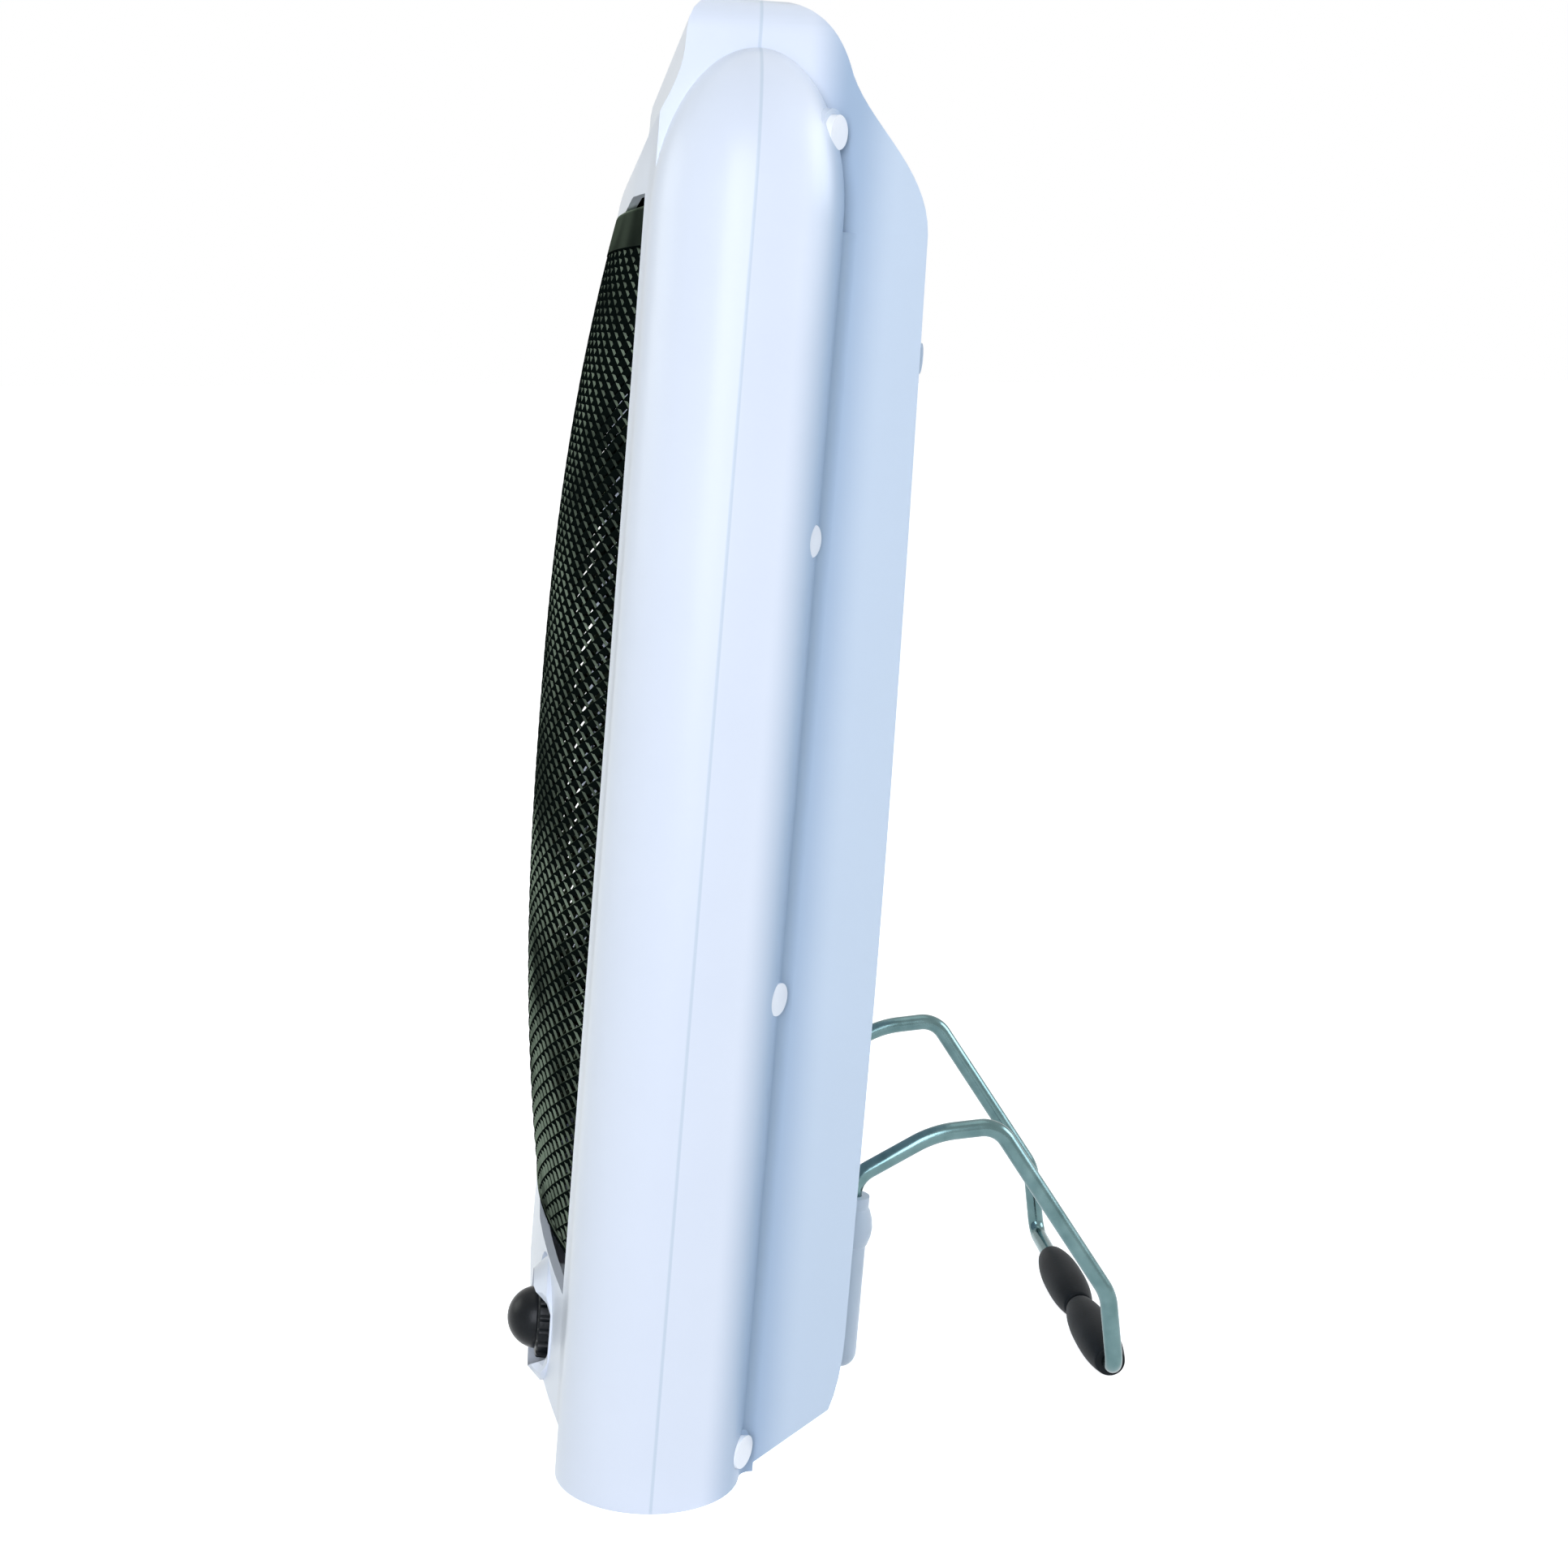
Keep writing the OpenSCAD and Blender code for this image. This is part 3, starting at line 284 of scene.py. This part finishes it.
finishes = {
    "shell_white": mouldedAbs("glossyAbsFront", "E2E8F5", "E9EEF9", 0.3),
    "rear_white": mouldedAbs("glossyAbsRear", "E2E8F5", "E9EEF9", 0.3),
    # small caps of the same ABS, their colour painted brighter than the casing's as painted light on the
    # raised caps
    "cap_white": speckled("glossyAbsCapPaintedBright", "F4F6FC", "FBFCFF", 0.2, 3),
    "mesh_black": stoveEnamel(),
    "reflector_sheet": rolledAluminium(),
    "zinc_sheet": zincSheet(),
    "quartz": milkyQuartz(),
    # oxidised iron-chromium wire: brown-grey, dull, blotchy along its length
    "heating_wire": grained("oxidisedHeatingWire", {"Metallic": 0.8, "Roughness": 0.55},
                            "3A332D", "6B6056", 4, 4, 0.00002),
    # pressed and fired steatite: cream and matt, with grains of about 0.4 mm
    "ceramic": grained("pressedSteatite", {"Roughness": 0.75, "IOR": 1.55},
                       "D6CDB8", "EBE4D2", 0.4, 3, 0.00004),
    # moulded black ABS: spark-eroded grain of about 0.3 mm, drawn at 0.5 mm so that it shows
    "knob_black": grained("blackAbs", {"Roughness": 0.32, "IOR": 1.54, "Specular IOR Level": 0.15},
                          "0A0D10", "15191D", 0.5, 2, 0.00003),
    "zinc_wire": zincWire(),
    # bright drawn steel for screws and spring: neutral grey, fine scratches of about 1 mm
    "spring_steel": grained("brightSteel", {"Metallic": 1.0, "Roughness": 0.3},
                            "8E9193", "B9BCBE", 1, 3, 0.00001),
    "sleeve_rubber": sleeveRubber(),
    "switch_body": speckled("phenolicSwitch", "C4BCA6", "D8D2BF", 0.55, 0.8),
    "tip_switch_red": speckled("redPhenolic", "7E1E14", "96291C", 0.5, 0.8),
    "plunger_white": speckled("naturalNylon", "DAD8CC", "E8E6DC", 0.45, 1.5),
    "cutout_black": speckled("blackPhenolic", "1A1A1A", "2A2927", 0.5, 0.7),
    "gland_white": speckled("satinNylon", "C9D1DC", "D9E0EA", 0.4, 1.5),
    "lead_brown": siliconeLead("brownSilicone", "3F2616", "5A3822"),
    "lead_red": siliconeLead("redSilicone", "7A140F", "971D15"),
    "lead_blue": siliconeLead("blueSilicone", "18305F", "23417A"),
}
slotOf = {part["node"]: part["material_slot"] for part in frame["record"]["subparts"]}
for node, piece in frame["nodes"].items():
    piece.data.materials.clear()
    piece.data.materials.append(finishes[slotOf[node]])
print("materials:", len(finishes))


def addPiece(name, mesh, slotName, body, replaced):
    # an object at the origin with its finish, riding a body, in place of one CAD node
    mesh.materials.append(finishes[slotName])
    piece = bpy.data.objects.new(name, mesh)
    bpy.context.scene.collection.objects.link(piece)
    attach(piece, body)
    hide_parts(replaced)
    return piece


def gridMesh(name, points, wrapRows=False, wrapColumns=True, capped=False):
    # quads between the neighbours of a grid of points, row by row: a way that wraps joins its last
    # line to its first, and caps close the first and the last row with one face each
    rows, columns = points.shape[:2]
    a = np.arange(rows if wrapRows else rows - 1)[:, None]
    b = np.arange(columns if wrapColumns else columns - 1)[None, :]
    nextA, nextB = (a + 1) % rows, (b + 1) % columns
    quads = [a * columns + b, a * columns + nextB, nextA * columns + nextB, nextA * columns + b]
    faces = np.stack(quads, -1).reshape(-1, 4).tolist()
    if capped:
        faces += [list(range(columns))[::-1], list(range((rows - 1) * columns, rows * columns))]
    mesh = bpy.data.meshes.new(name)
    mesh.from_pydata(points.reshape(-1, 3).tolist(), [], faces)
    mesh.shade_smooth()
    return mesh


def markSharp(work, sharpDegrees):
    # an edge is smooth where its two faces meet at less than the angle
    for edge in work.edges:
        edge.smooth = len(edge.link_faces) != 2 or edge.calc_face_angle() < math.radians(sharpDegrees)


def tidyMesh(mesh, sharpDegrees):
    # doubled points merged, faces turned outwards, and edges past the angle left sharp
    work = bmesh.new()
    work.from_mesh(mesh)
    bmesh.ops.remove_doubles(work, verts=work.verts, dist=1e-6)
    bmesh.ops.recalc_face_normals(work, faces=work.faces)
    markSharp(work, sharpDegrees)
    work.to_mesh(mesh)
    work.free()
    return mesh


def sweepMesh(name, path, radius, sides, up):
    # circles of the given radius round a path: two axes square to its direction, from one fixed vector
    ahead = np.gradient(path, axis=0)
    ahead /= np.linalg.norm(ahead, axis=1, keepdims=True)
    first = np.cross(ahead, up)
    first /= np.linalg.norm(first, axis=1, keepdims=True)
    second = np.cross(first, ahead)
    angle = np.linspace(0, 2 * math.pi, sides, endpoint=False)[None, :, None]
    ring = np.cos(angle) * first[:, None] + np.sin(angle) * second[:, None]
    return gridMesh(name, path[:, None] + radius * ring, capped=True)


bezel = {"x": 66, "w": 24.5, "outer": 17.4, "notchFloor": 27.9, "notchStart": 3, "notchHalf": 11,
         "ease": 3.5}


def notchBezel(mesh):
    # The finger notch in the side of the bezel: points of the bezel ahead of the notch's floor sink
    # to it, by the product of an ease across x and an ease up and down from the knob's axis
    places = np.empty(len(mesh.vertices) * 3)
    mesh.vertices.foreach_get("co", places)
    x, y, z = places.reshape(-1, 3).T * 1000
    v, w = fromFloor(y - casing["shiftY"], z)
    over, up = x - bezel["x"], w - bezel["w"]
    share = np.clip((over - bezel["notchStart"]) / bezel["ease"], 0, 1)
    share = share * np.clip((bezel["notchHalf"] - np.abs(up)) / bezel["ease"], 0, 1)
    share = share * (np.hypot(over, up) < bezel["outer"])
    sunk = np.where(v < -bezel["notchFloor"], v + share * (-bezel["notchFloor"] - v), v)
    mesh.vertices.foreach_set("co", toRow(x, sunk, w).reshape(-1))


# A face stays flat where it is both over the wide area, in square metres, and wide for its rim
moulding = {"mergeM": 2e-6, "planeDegrees": 0.03, "sharpDegrees": 30, "segments": 2,
            "wideArea": 6e-4, "wideShare": 0.008}
# widths of the broken edges, in millimetres
brokenEdges = {"front_shell": 0.45, "rear_shell": 0.45, "screw_caps": 0.35, "cord_gland": 0.3,
               "dial_plate": 0.2, "rotary_switch": 0.4, "terminal_block": 0.5,
               "tip_switch_housing": 0.5, "lower_left_cap": 0.3, "lower_right_cap": 0.3,
               "upper_left_cap": 0.3, "upper_right_cap": 0.3}
tubeEdge = 0.2


def refined(node, bevelMm):
    # a copy of a CAD node with merged corners, smooth curves and edges broken by a small radius
    source = frame["nodes"][node]
    mesh = source.data.copy()
    mesh.name = node + "Moulding"
    mesh.materials.clear()
    if node == "front_shell":
        notchBezel(mesh)
    work = bmesh.new()
    work.from_mesh(mesh)
    bmesh.ops.remove_doubles(work, verts=work.verts, dist=moulding["mergeM"])
    bmesh.ops.dissolve_limit(work, angle_limit=math.radians(moulding["planeDegrees"]),
                             verts=work.verts, edges=work.edges)
    for face in work.faces:
        rim = sum(edge.calc_length() for edge in face.edges)
        face.smooth = face.calc_area() < max(moulding["wideArea"], moulding["wideShare"] * rim * rim)
    markSharp(work, moulding["sharpDegrees"])
    work.to_mesh(mesh)
    work.free()
    piece = addPiece(node + "Moulding", mesh, slotOf[node], source["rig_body"], node)
    edges = piece.modifiers.new("brokenEdges", "BEVEL")
    edges.limit_method = "ANGLE"
    edges.angle_limit = math.radians(moulding["sharpDegrees"])
    edges.width = bevelMm / 1000
    edges.segments = moulding["segments"]
    edges.harden_normals = True


for node, width in brokenEdges.items():
    refined(node, width)
print("mouldings refined:", len(brokenEdges))


window = {"low": 43, "high": 337, "half": 95.5}
bulge = {"halfWidth": 90, "front": 41.4, "fall": 10, "power": 2.45, "sideFront": 17,
         "sink": 8, "inset": 7}
# the bulge's middle lies below the window's by the sink, and its ends lie inside by the inset
bulgeMiddle = (window["low"] + window["high"]) / 2 - bulge["sink"]
bulgeReach = (window["high"] - window["low"]) / 2 - bulge["inset"]


def bulgeHeight(w):
    # greatest depth less a power curve of the distance from mid height
    return bulge["front"] - bulge["fall"] * (np.abs(w - bulgeMiddle) / bulgeReach) ** bulge["power"]


def acrossBulge(x, height):
    # a parabola across the window from the height down to the flanges
    u = np.minimum(1, np.abs(x) / bulge["halfWidth"])
    return -(bulge["sideFront"] + (height - bulge["sideFront"]) * (1 - u * u))


grille = {"low": 43.8, "high": 329, "columns": 21, "rows": 62, "risingWidth": 2.2, "fallingWidth": 1.5,
          "thickness": 0.7, "tiltDegrees": -40, "overlap": 0.25}


def makeNet():
    # Expanded metal: corners of the diamonds lie on the bulge at every second point of a grid. Each
    # strand joins two of them as a flat bar. All the bars are tilted the same way, and those that
    # rise towards the knob's side are the wider ones.
    columns, rows = grille["columns"], grille["rows"]
    i, j = np.meshgrid(np.arange(2 * columns + 1), np.arange(2 * rows + 1), indexing="ij")

    def corner(i, j):
        x = (i / columns - 1) * bulge["halfWidth"]
        w = grille["low"] + j / (2 * rows) * (grille["high"] - grille["low"])
        return np.stack([x, acrossBulge(x, bulgeHeight(w)), w], -1)

    starts, ends, widths = [], [], []
    for step, widthName in ((1, "risingWidth"), (-1, "fallingWidth")):
        kept = ((i + j) % 2 == 1) & (i < 2 * columns) & (j + step >= 0) & (j + step <= 2 * rows)
        starts.append(corner(i[kept], j[kept]))
        ends.append(corner(i[kept] + 1, j[kept] + step))
        widths.append(np.full(kept.sum(), grille[widthName]))
    start, end = np.concatenate(starts), np.concatenate(ends)
    width = np.concatenate(widths)[:, None, None]
    # the bulge's outward direction at the middle of each strand, from its slopes over a small step
    x, _, w = ((start + end) / 2).T
    small = 0.05
    slopeX = acrossBulge(x + small, bulgeHeight(w)) - acrossBulge(x - small, bulgeHeight(w))
    slopeW = acrossBulge(x, bulgeHeight(w + small)) - acrossBulge(x, bulgeHeight(w - small))
    outward = np.stack([slopeX, np.full_like(slopeX, -2 * small), slopeW], -1)
    outward /= np.linalg.norm(outward, axis=1, keepdims=True)
    tilt = math.radians(grille["tiltDegrees"])
    facing = outward * math.cos(tilt) + np.array([0, 0, 1]) * math.sin(tilt)
    along = end - start
    along /= np.linalg.norm(along, axis=1, keepdims=True)
    wide = np.cross(along, facing)
    wide /= np.linalg.norm(wide, axis=1, keepdims=True)
    thick = np.cross(wide, along)
    # four corners round each end, which runs on a little past the diamond's corner
    signs = np.array([[-1, -1], [1, -1], [1, 1], [-1, 1]])
    section = (signs[:, :1] * wide[:, None] * width
               + signs[:, 1:] * thick[:, None] * grille["thickness"]) / 2
    reach = along[:, None] * grille["overlap"]
    points = np.concatenate([start[:, None] - reach + section, end[:, None] + reach + section], 1)
    box = np.array([[0, 3, 2, 1], [4, 5, 6, 7], [0, 1, 5, 4],
                    [1, 2, 6, 5], [2, 3, 7, 6], [3, 0, 4, 7]])
    faces = (np.arange(len(points))[:, None, None] * 8 + box[None]).reshape(-1, 4)
    placed = toRow(*np.moveaxis(points.reshape(-1, 3), 1, 0))
    mesh = bpy.data.meshes.new("grilleNet")
    mesh.from_pydata(placed.tolist(), [], faces.tolist())
    return mesh


net = addPiece("grilleNet", makeNet(), "mesh_black", "root", "mesh_grille")
print("grille net:", len(net.data.polygons), "faces")


band = {"sides": 9, "top": 12, "foot": 2.5, "thickness": 0.7, "topFront": 23, "footFront": 27,
        "outerHalf": 99.8, "belowWindow": 2.3, "aboveWindow": 4.8, "outerRadius": 3, "innerRadius": 7,
        "footEase": 0.8, "topEase": 1.0, "edgeGap": 0.2, "proud": 0.8, "turns": 400, "steps": 48}


def roundedRing(halfX, low, high, radius):
    # straight sides and quarter circles, spaced so that two such rings match corner for corner
    middle, halfW = (low + high) / 2, (high - low) / 2
    quarter = np.linspace(0, math.pi / 2, band["turns"] // 20)
    corners = []
    for k, (sideX, sideW) in enumerate(((1, 1), (-1, 1), (-1, -1), (1, -1))):
        angle = quarter + k * math.pi / 2
        corners.append(np.stack([sideX * (halfX - radius) + radius * np.cos(angle),
                                 middle + sideW * (halfW - radius) + radius * np.sin(angle)], -1))
    t = np.linspace(0, 1, band["turns"] // 5, endpoint=False)[1:, None]
    runs = []
    for here, following in zip(corners, corners[1:] + corners[:1]):
        runs += [here, here[-1] * (1 - t) + following[0] * t]
    return np.concatenate(runs)


def eased(s):
    # from 0 to 1 with level ends, by 3 s squared less 2 s cubed
    s = np.clip(s, 0, 1)
    return s * s * (3 - 2 * s)


def makeBand():
    # A ring between two rounded rectangles: the first parameter runs round the window, the second
    # from the outer to the inner edge. It follows the bulge and drops behind the window's edge.
    outer = roundedRing(band["outerHalf"], window["low"] - band["belowWindow"],
                        window["high"] + band["aboveWindow"], band["outerRadius"])
    inner = roundedRing(window["half"] - band["sides"], window["low"] + band["foot"],
                        window["high"] - band["top"], band["innerRadius"])
    t = np.linspace(0, 1, band["steps"])[None, :, None]
    x, w = np.moveaxis(outer[:, None] * (1 - t) + inner[:, None] * t, -1, 0)
    aboveFoot = eased((w - window["low"] - band["edgeGap"]) / band["footEase"])
    belowTop = eased((window["high"] - band["edgeGap"] - w) / band["topEase"])
    height = band["footFront"] + (bulgeHeight(w) - band["footFront"]) * aboveFoot
    height = band["topFront"] + (height - band["topFront"]) * belowTop
    points = toRow(x, acrossBulge(x, height) - band["proud"], w)
    return gridMesh("grilleBand", points, wrapRows=True, wrapColumns=False)


bandPiece = addPiece("grilleBand", makeBand(), "mesh_black", "root", "grille_frame")
sheet = bandPiece.modifiers.new("sheet", "SOLIDIFY")
sheet.thickness = band["thickness"] / 1000
sheet.offset = 0
print("grille band:", len(bandPiece.data.polygons), "faces")


# lower and upper are the heights of the two tubes
element = {"lower": 134, "upper": 257, "depth": 5, "halfLength": 74, "coilRadius": 3.75,
           "wireRadius": 0.36, "turns": 66, "stepsPerTurn": 12, "tailStart": 1.5, "tailEnd": 11}


def makeCoil(name, w):
    # A helix, whose radius falls to nothing over the last turn at each end, where straight tails go on
    s = np.linspace(0, 1, element["turns"] * element["stepsPerTurn"] + 1)
    angle = 2 * math.pi * element["turns"] * s
    radius = element["coilRadius"] * np.clip(np.minimum(s, 1 - s) * element["turns"], 0, 1)
    x = (2 * s - 1) * element["halfLength"]
    helix = np.stack([x, radius * np.cos(angle), radius * np.sin(angle)], -1)
    tail = np.linspace(element["tailEnd"], element["tailStart"], 6)[:, None] * [1, 0, 0]
    helix = np.concatenate([helix[:1] - tail, helix, helix[-1:] + tail[::-1]])
    path = toRow(helix[:, 0], element["depth"] + helix[:, 1], w + helix[:, 2])
    return sweepMesh(name, path, element["wireRadius"] / 1000, 6, (1, 0.02, 0.01))


for title in ("lower", "upper"):
    name = title + "CoilWire"
    addPiece(name, makeCoil(name, element[title]), "heating_wire", "root", title + "_heating_coil")
for title in ("lower", "upper"):
    refined(title + "_quartz_tube", tubeEdge)
print("heating elements done")


knob = {"x": 66, "w": 24.5, "radius": 11, "front": 39.6, "domeRadius": 8.6, "skirtFront": 31.2,
        "back": 23.8, "bore": 9, "boreFront": 29, "shaft": 3.02, "shaftFront": 34.7, "flutes": 18,
        "fluteDepth": 0.6, "rim": 0.8, "chamfer": 0.3, "sides": 216}


def makeKnob():
    # A profile of radius and height turned about the shaft. The flutes take a cosine bite out of the
    # radius on the skirt and fade on the dome.
    radius, back, rim, chamfer = knob["radius"], knob["back"], knob["rim"], knob["chamfer"]
    skirtTop = knob["skirtFront"] - rim
    domeCentre = knob["front"] - knob["domeRadius"]
    inside = [[0.0, knob["shaftFront"]], [knob["shaft"], knob["shaftFront"]],
              [knob["shaft"], knob["boreFront"]], [knob["bore"], knob["boreFront"]],
              [knob["bore"], back], [radius - chamfer, back], [radius, back + chamfer]]
    heights = np.linspace(back + 1.4, skirtTop, 8)
    skirt = np.stack([np.full(8, radius), heights], -1)
    bend = np.array([0.4, 0.8, 1.2, 1.5])
    rounding = np.stack([radius - rim + rim * np.cos(bend), skirtTop + rim * np.sin(bend)], -1)
    rise = np.linspace(math.pi / 2 - 0.06, 0.02, 26)
    dome = knob["domeRadius"] * np.stack([np.sin(rise), np.cos(rise)], -1) + [0, domeCentre]
    profile = np.concatenate([inside, skirt, rounding, dome, [[0.0, knob["front"]]]])
    angle = np.linspace(0, 2 * math.pi, knob["sides"], endpoint=False)[None, :]
    out, ahead = profile[:, :1], profile[:, 1:]
    bite = np.clip(np.cos(knob["flutes"] * angle), 0, 1) ** 0.8 * knob["fluteDepth"]
    onSkirt = np.clip((out - radius + 1.6) / 1.2, 0, 1) * (ahead > back + 0.8)
    out = out - bite * onSkirt
    points = toRow(knob["x"] + out * np.cos(angle), -ahead, knob["w"] + out * np.sin(angle))
    return tidyMesh(gridMesh("knobDome", points), 40)


addPiece("knobDome", makeKnob(), "knob_black", "knob", "control_knob")
print("knob done")


# The leg's bends are in v and w, those from the floor in y and z, and each has its own bend radius
stand = {"wireRadius": 2.5, "legX": 56, "socketDepth": 56.4, "pinLow": 19.3, "pinHigh": 68,
         "fromFloor": [(84, 76.5), (102, 78.6), (134.5, 28.7), (136.9, 6.2)],
         "bends": [0, 9, 30, 8, 14, 5], "sides": 28}


def bentPath(corners, radii, steps=20):
    # straight runs joined by arcs: each arc is tangent to both runs and lies in their plane
    points = [corners[0][None]]
    for a, b, c, r in zip(corners[:-2], corners[1:-1], corners[2:], radii[1:-1]):
        d, e = (b - a) / np.linalg.norm(b - a), (c - b) / np.linalg.norm(c - b)
        angle = math.acos(float(d @ e))
        inward = (e - d * (d @ e)) / np.linalg.norm(e - d * (d @ e))
        s = np.linspace(0, angle, steps)[:, None]
        centre = b - d * r * math.tan(angle / 2) + inward * r
        points.append(centre + r * (np.sin(s) * d - np.cos(s) * inward))
    return np.concatenate(points + [corners[-1][None]])


def makeWire():
    # one leg from its socket over the crest to the floor, across to the other leg, and back
    bent = [(stand["socketDepth"], stand["pinLow"]), (stand["socketDepth"], stand["pinHigh"])]
    bent += [fromFloor(y, z) for y, z in stand["fromFloor"]]
    leg = np.array([[stand["legX"], v, w] for v, w in bent])
    corners = np.concatenate([leg, leg[::-1] * [-1, 1, 1]])
    path = toRow(*bentPath(corners, stand["bends"] + stand["bends"][::-1]).T)
    return sweepMesh("standWire", path, stand["wireRadius"] / 1000, stand["sides"], (1, 0.9, 0.5))


addPiece("standWire", makeWire(), "zinc_wire", "stand", "wire_stand")

# The two sleeves meet off the middle of the bar, as in the photograph
sleeve = {"radius": 6.2, "length": 40, "meet": 9.5, "gap": 2, "barrel": 1.8, "barrelPower": 2.5,
          "play": 0.04, "barY": 136.9}


def makeSleeve(name, start):
    # A barrel turned about the wire: the radius falls by a power curve towards both ends, and the
    # rims are rounded
    s = np.linspace(-1, 1, 49)
    barrel = sleeve["radius"] - sleeve["barrel"] * np.abs(s) ** sleeve["barrelPower"]
    length, bore = sleeve["length"], stand["wireRadius"] + sleeve["play"]
    x = (s + 1) / 2 * (length - 1.2) + 0.6
    rim = np.array([[0.0, 0.75], [0.12, 0.35], [0.35, 0.1]])
    profile = np.concatenate([
        [[0, bore]], np.stack([rim[:, 0], barrel[0] - rim[:, 1]], -1), np.stack([x, barrel], -1),
        np.stack([length - rim[::-1, 0], barrel[-1] - rim[::-1, 1]], -1), [[length, bore]]])
    angle = np.linspace(0, 2 * math.pi, 64, endpoint=False)[None, :]
    y = casing["shiftY"] + sleeve["barY"] + profile[:, 1:] * np.cos(angle)
    z = sleeve["radius"] + profile[:, 1:] * np.sin(angle)
    points = np.stack([start + profile[:, :1] + 0 * y, y, z], -1) / 1000
    return tidyMesh(gridMesh(name, points, wrapRows=True), 50)


for title, start in (("right", sleeve["meet"] + sleeve["gap"] / 2),
                     ("left", sleeve["meet"] - sleeve["gap"] / 2 - sleeve["length"])):
    name = title + "SleeveBarrel"
    addPiece(name, makeSleeve(name, start), "sleeve_rubber", "stand", title + "_sleeve")
print("stand done")


studio = {"floorHalf": 40.0, "floorGlow": 0.82, "glowStart": 0.6, "glowReach": 2.2,
          "worldStrength": 0.18, "worldColour": "D4E6D8", "aim": (0, 0, 0.2)}
# place, width and height in metres, power and colour of each soft lamp
lamps = {"keyLight": ((1.5, -0.4, 0.65), (0.7, 1.1), 17.5, "F0F4FF"),
         "backLight": ((-0.1, 1.6, 0.8), (1.0, 0.8), 17, "F2F6FF"),
         "frontLight": ((-0.5, -1.6, 0.7), (1.0, 0.8), 6, "F4F8F2"),
         "topLight": ((-0.2, -0.1, 1.7), (1.2, 1.2), 3.5, "FFFFFF")}
shownTo = ("Is Camera Ray", "Is Glossy Ray", "Is Transmission Ray")


def seenRays(tree):
    # 1 for the rays that show the background and 0 for the others
    rays = addNode(tree, "ShaderNodeLightPath")
    total = rays.outputs[shownTo[0]]
    for kind in shownTo[1:]:
        total = addNode(tree, "ShaderNodeMath", {"operation": "MAXIMUM"},
                        {0: total, 1: rays.outputs[kind]}).outputs[0]
    return total


half = studio["floorHalf"]
floorMesh = bpy.data.meshes.new("studioFloor")
floorMesh.from_pydata([(-half, -half, 0), (half, -half, 0), (half, half, 0), (-half, half, 0)],
                      [], [(0, 1, 2, 3)])
floor = bpy.data.objects.new("studioFloor", floorMesh)
bpy.context.scene.collection.objects.link(floor)
# White card on the floor: it glows for the rays that show the background, and still takes a soft
# shadow. The glow rises to full white with the distance, where the lamps no longer reach.
card, tree, shader, place = newFinish("whiteCard", {
    "Base Color": (0.85, 0.85, 0.85, 1), "Roughness": 0.95, "Specular IOR Level": 0.0,
    "Emission Color": (1, 1, 1, 1)})
away = addNode(tree, "ShaderNodeVectorMath", {"operation": "LENGTH"}, {0: place})
rise = addNode(tree, "ShaderNodeMapRange",
               {"From Min": studio["glowStart"], "From Max": studio["glowReach"],
                "To Min": studio["floorGlow"], "To Max": 1.0}, {"Value": away.outputs["Value"]})
glow = addNode(tree, "ShaderNodeMath", {"operation": "MULTIPLY"},
               {0: rise.outputs[0], 1: seenRays(tree)})
tree.links.new(shader.inputs["Emission Strength"], glow.outputs[0])
floorMesh.materials.append(card)
print("floor laid")

world = bpy.data.worlds.new("studioWorld")
bpy.context.scene.world = world
world.use_nodes = True
tree = world.node_tree
tree.nodes.clear()
soft = addNode(tree, "ShaderNodeBackground", {"Color": linear(studio["worldColour"]),
                                              "Strength": studio["worldStrength"]})
white = addNode(tree, "ShaderNodeBackground", {"Color": (1, 1, 1, 1), "Strength": 1.0})
both = addNode(tree, "ShaderNodeMixShader", {},
               {0: seenRays(tree), 1: soft.outputs[0], 2: white.outputs[0]})
addNode(tree, "ShaderNodeOutputWorld", {}, {"Surface": both.outputs[0]})

for name, (place, size, power, hexColour) in lamps.items():
    # an area lamp, whose face looks at the middle of the heater
    lampData = bpy.data.lights.new(name, "AREA")
    lampData.shape = "RECTANGLE"
    lampData.size, lampData.size_y = size
    lampData.energy = power
    lampData.color = linear(hexColour)[:3]
    lamp = bpy.data.objects.new(name, lampData)
    bpy.context.scene.collection.objects.link(lamp)
    lamp.location = place
    lamp.rotation_euler = (Vector(place) - Vector(studio["aim"])).to_track_quat("Z", "Y").to_euler()
print("lamps:", len(lamps))
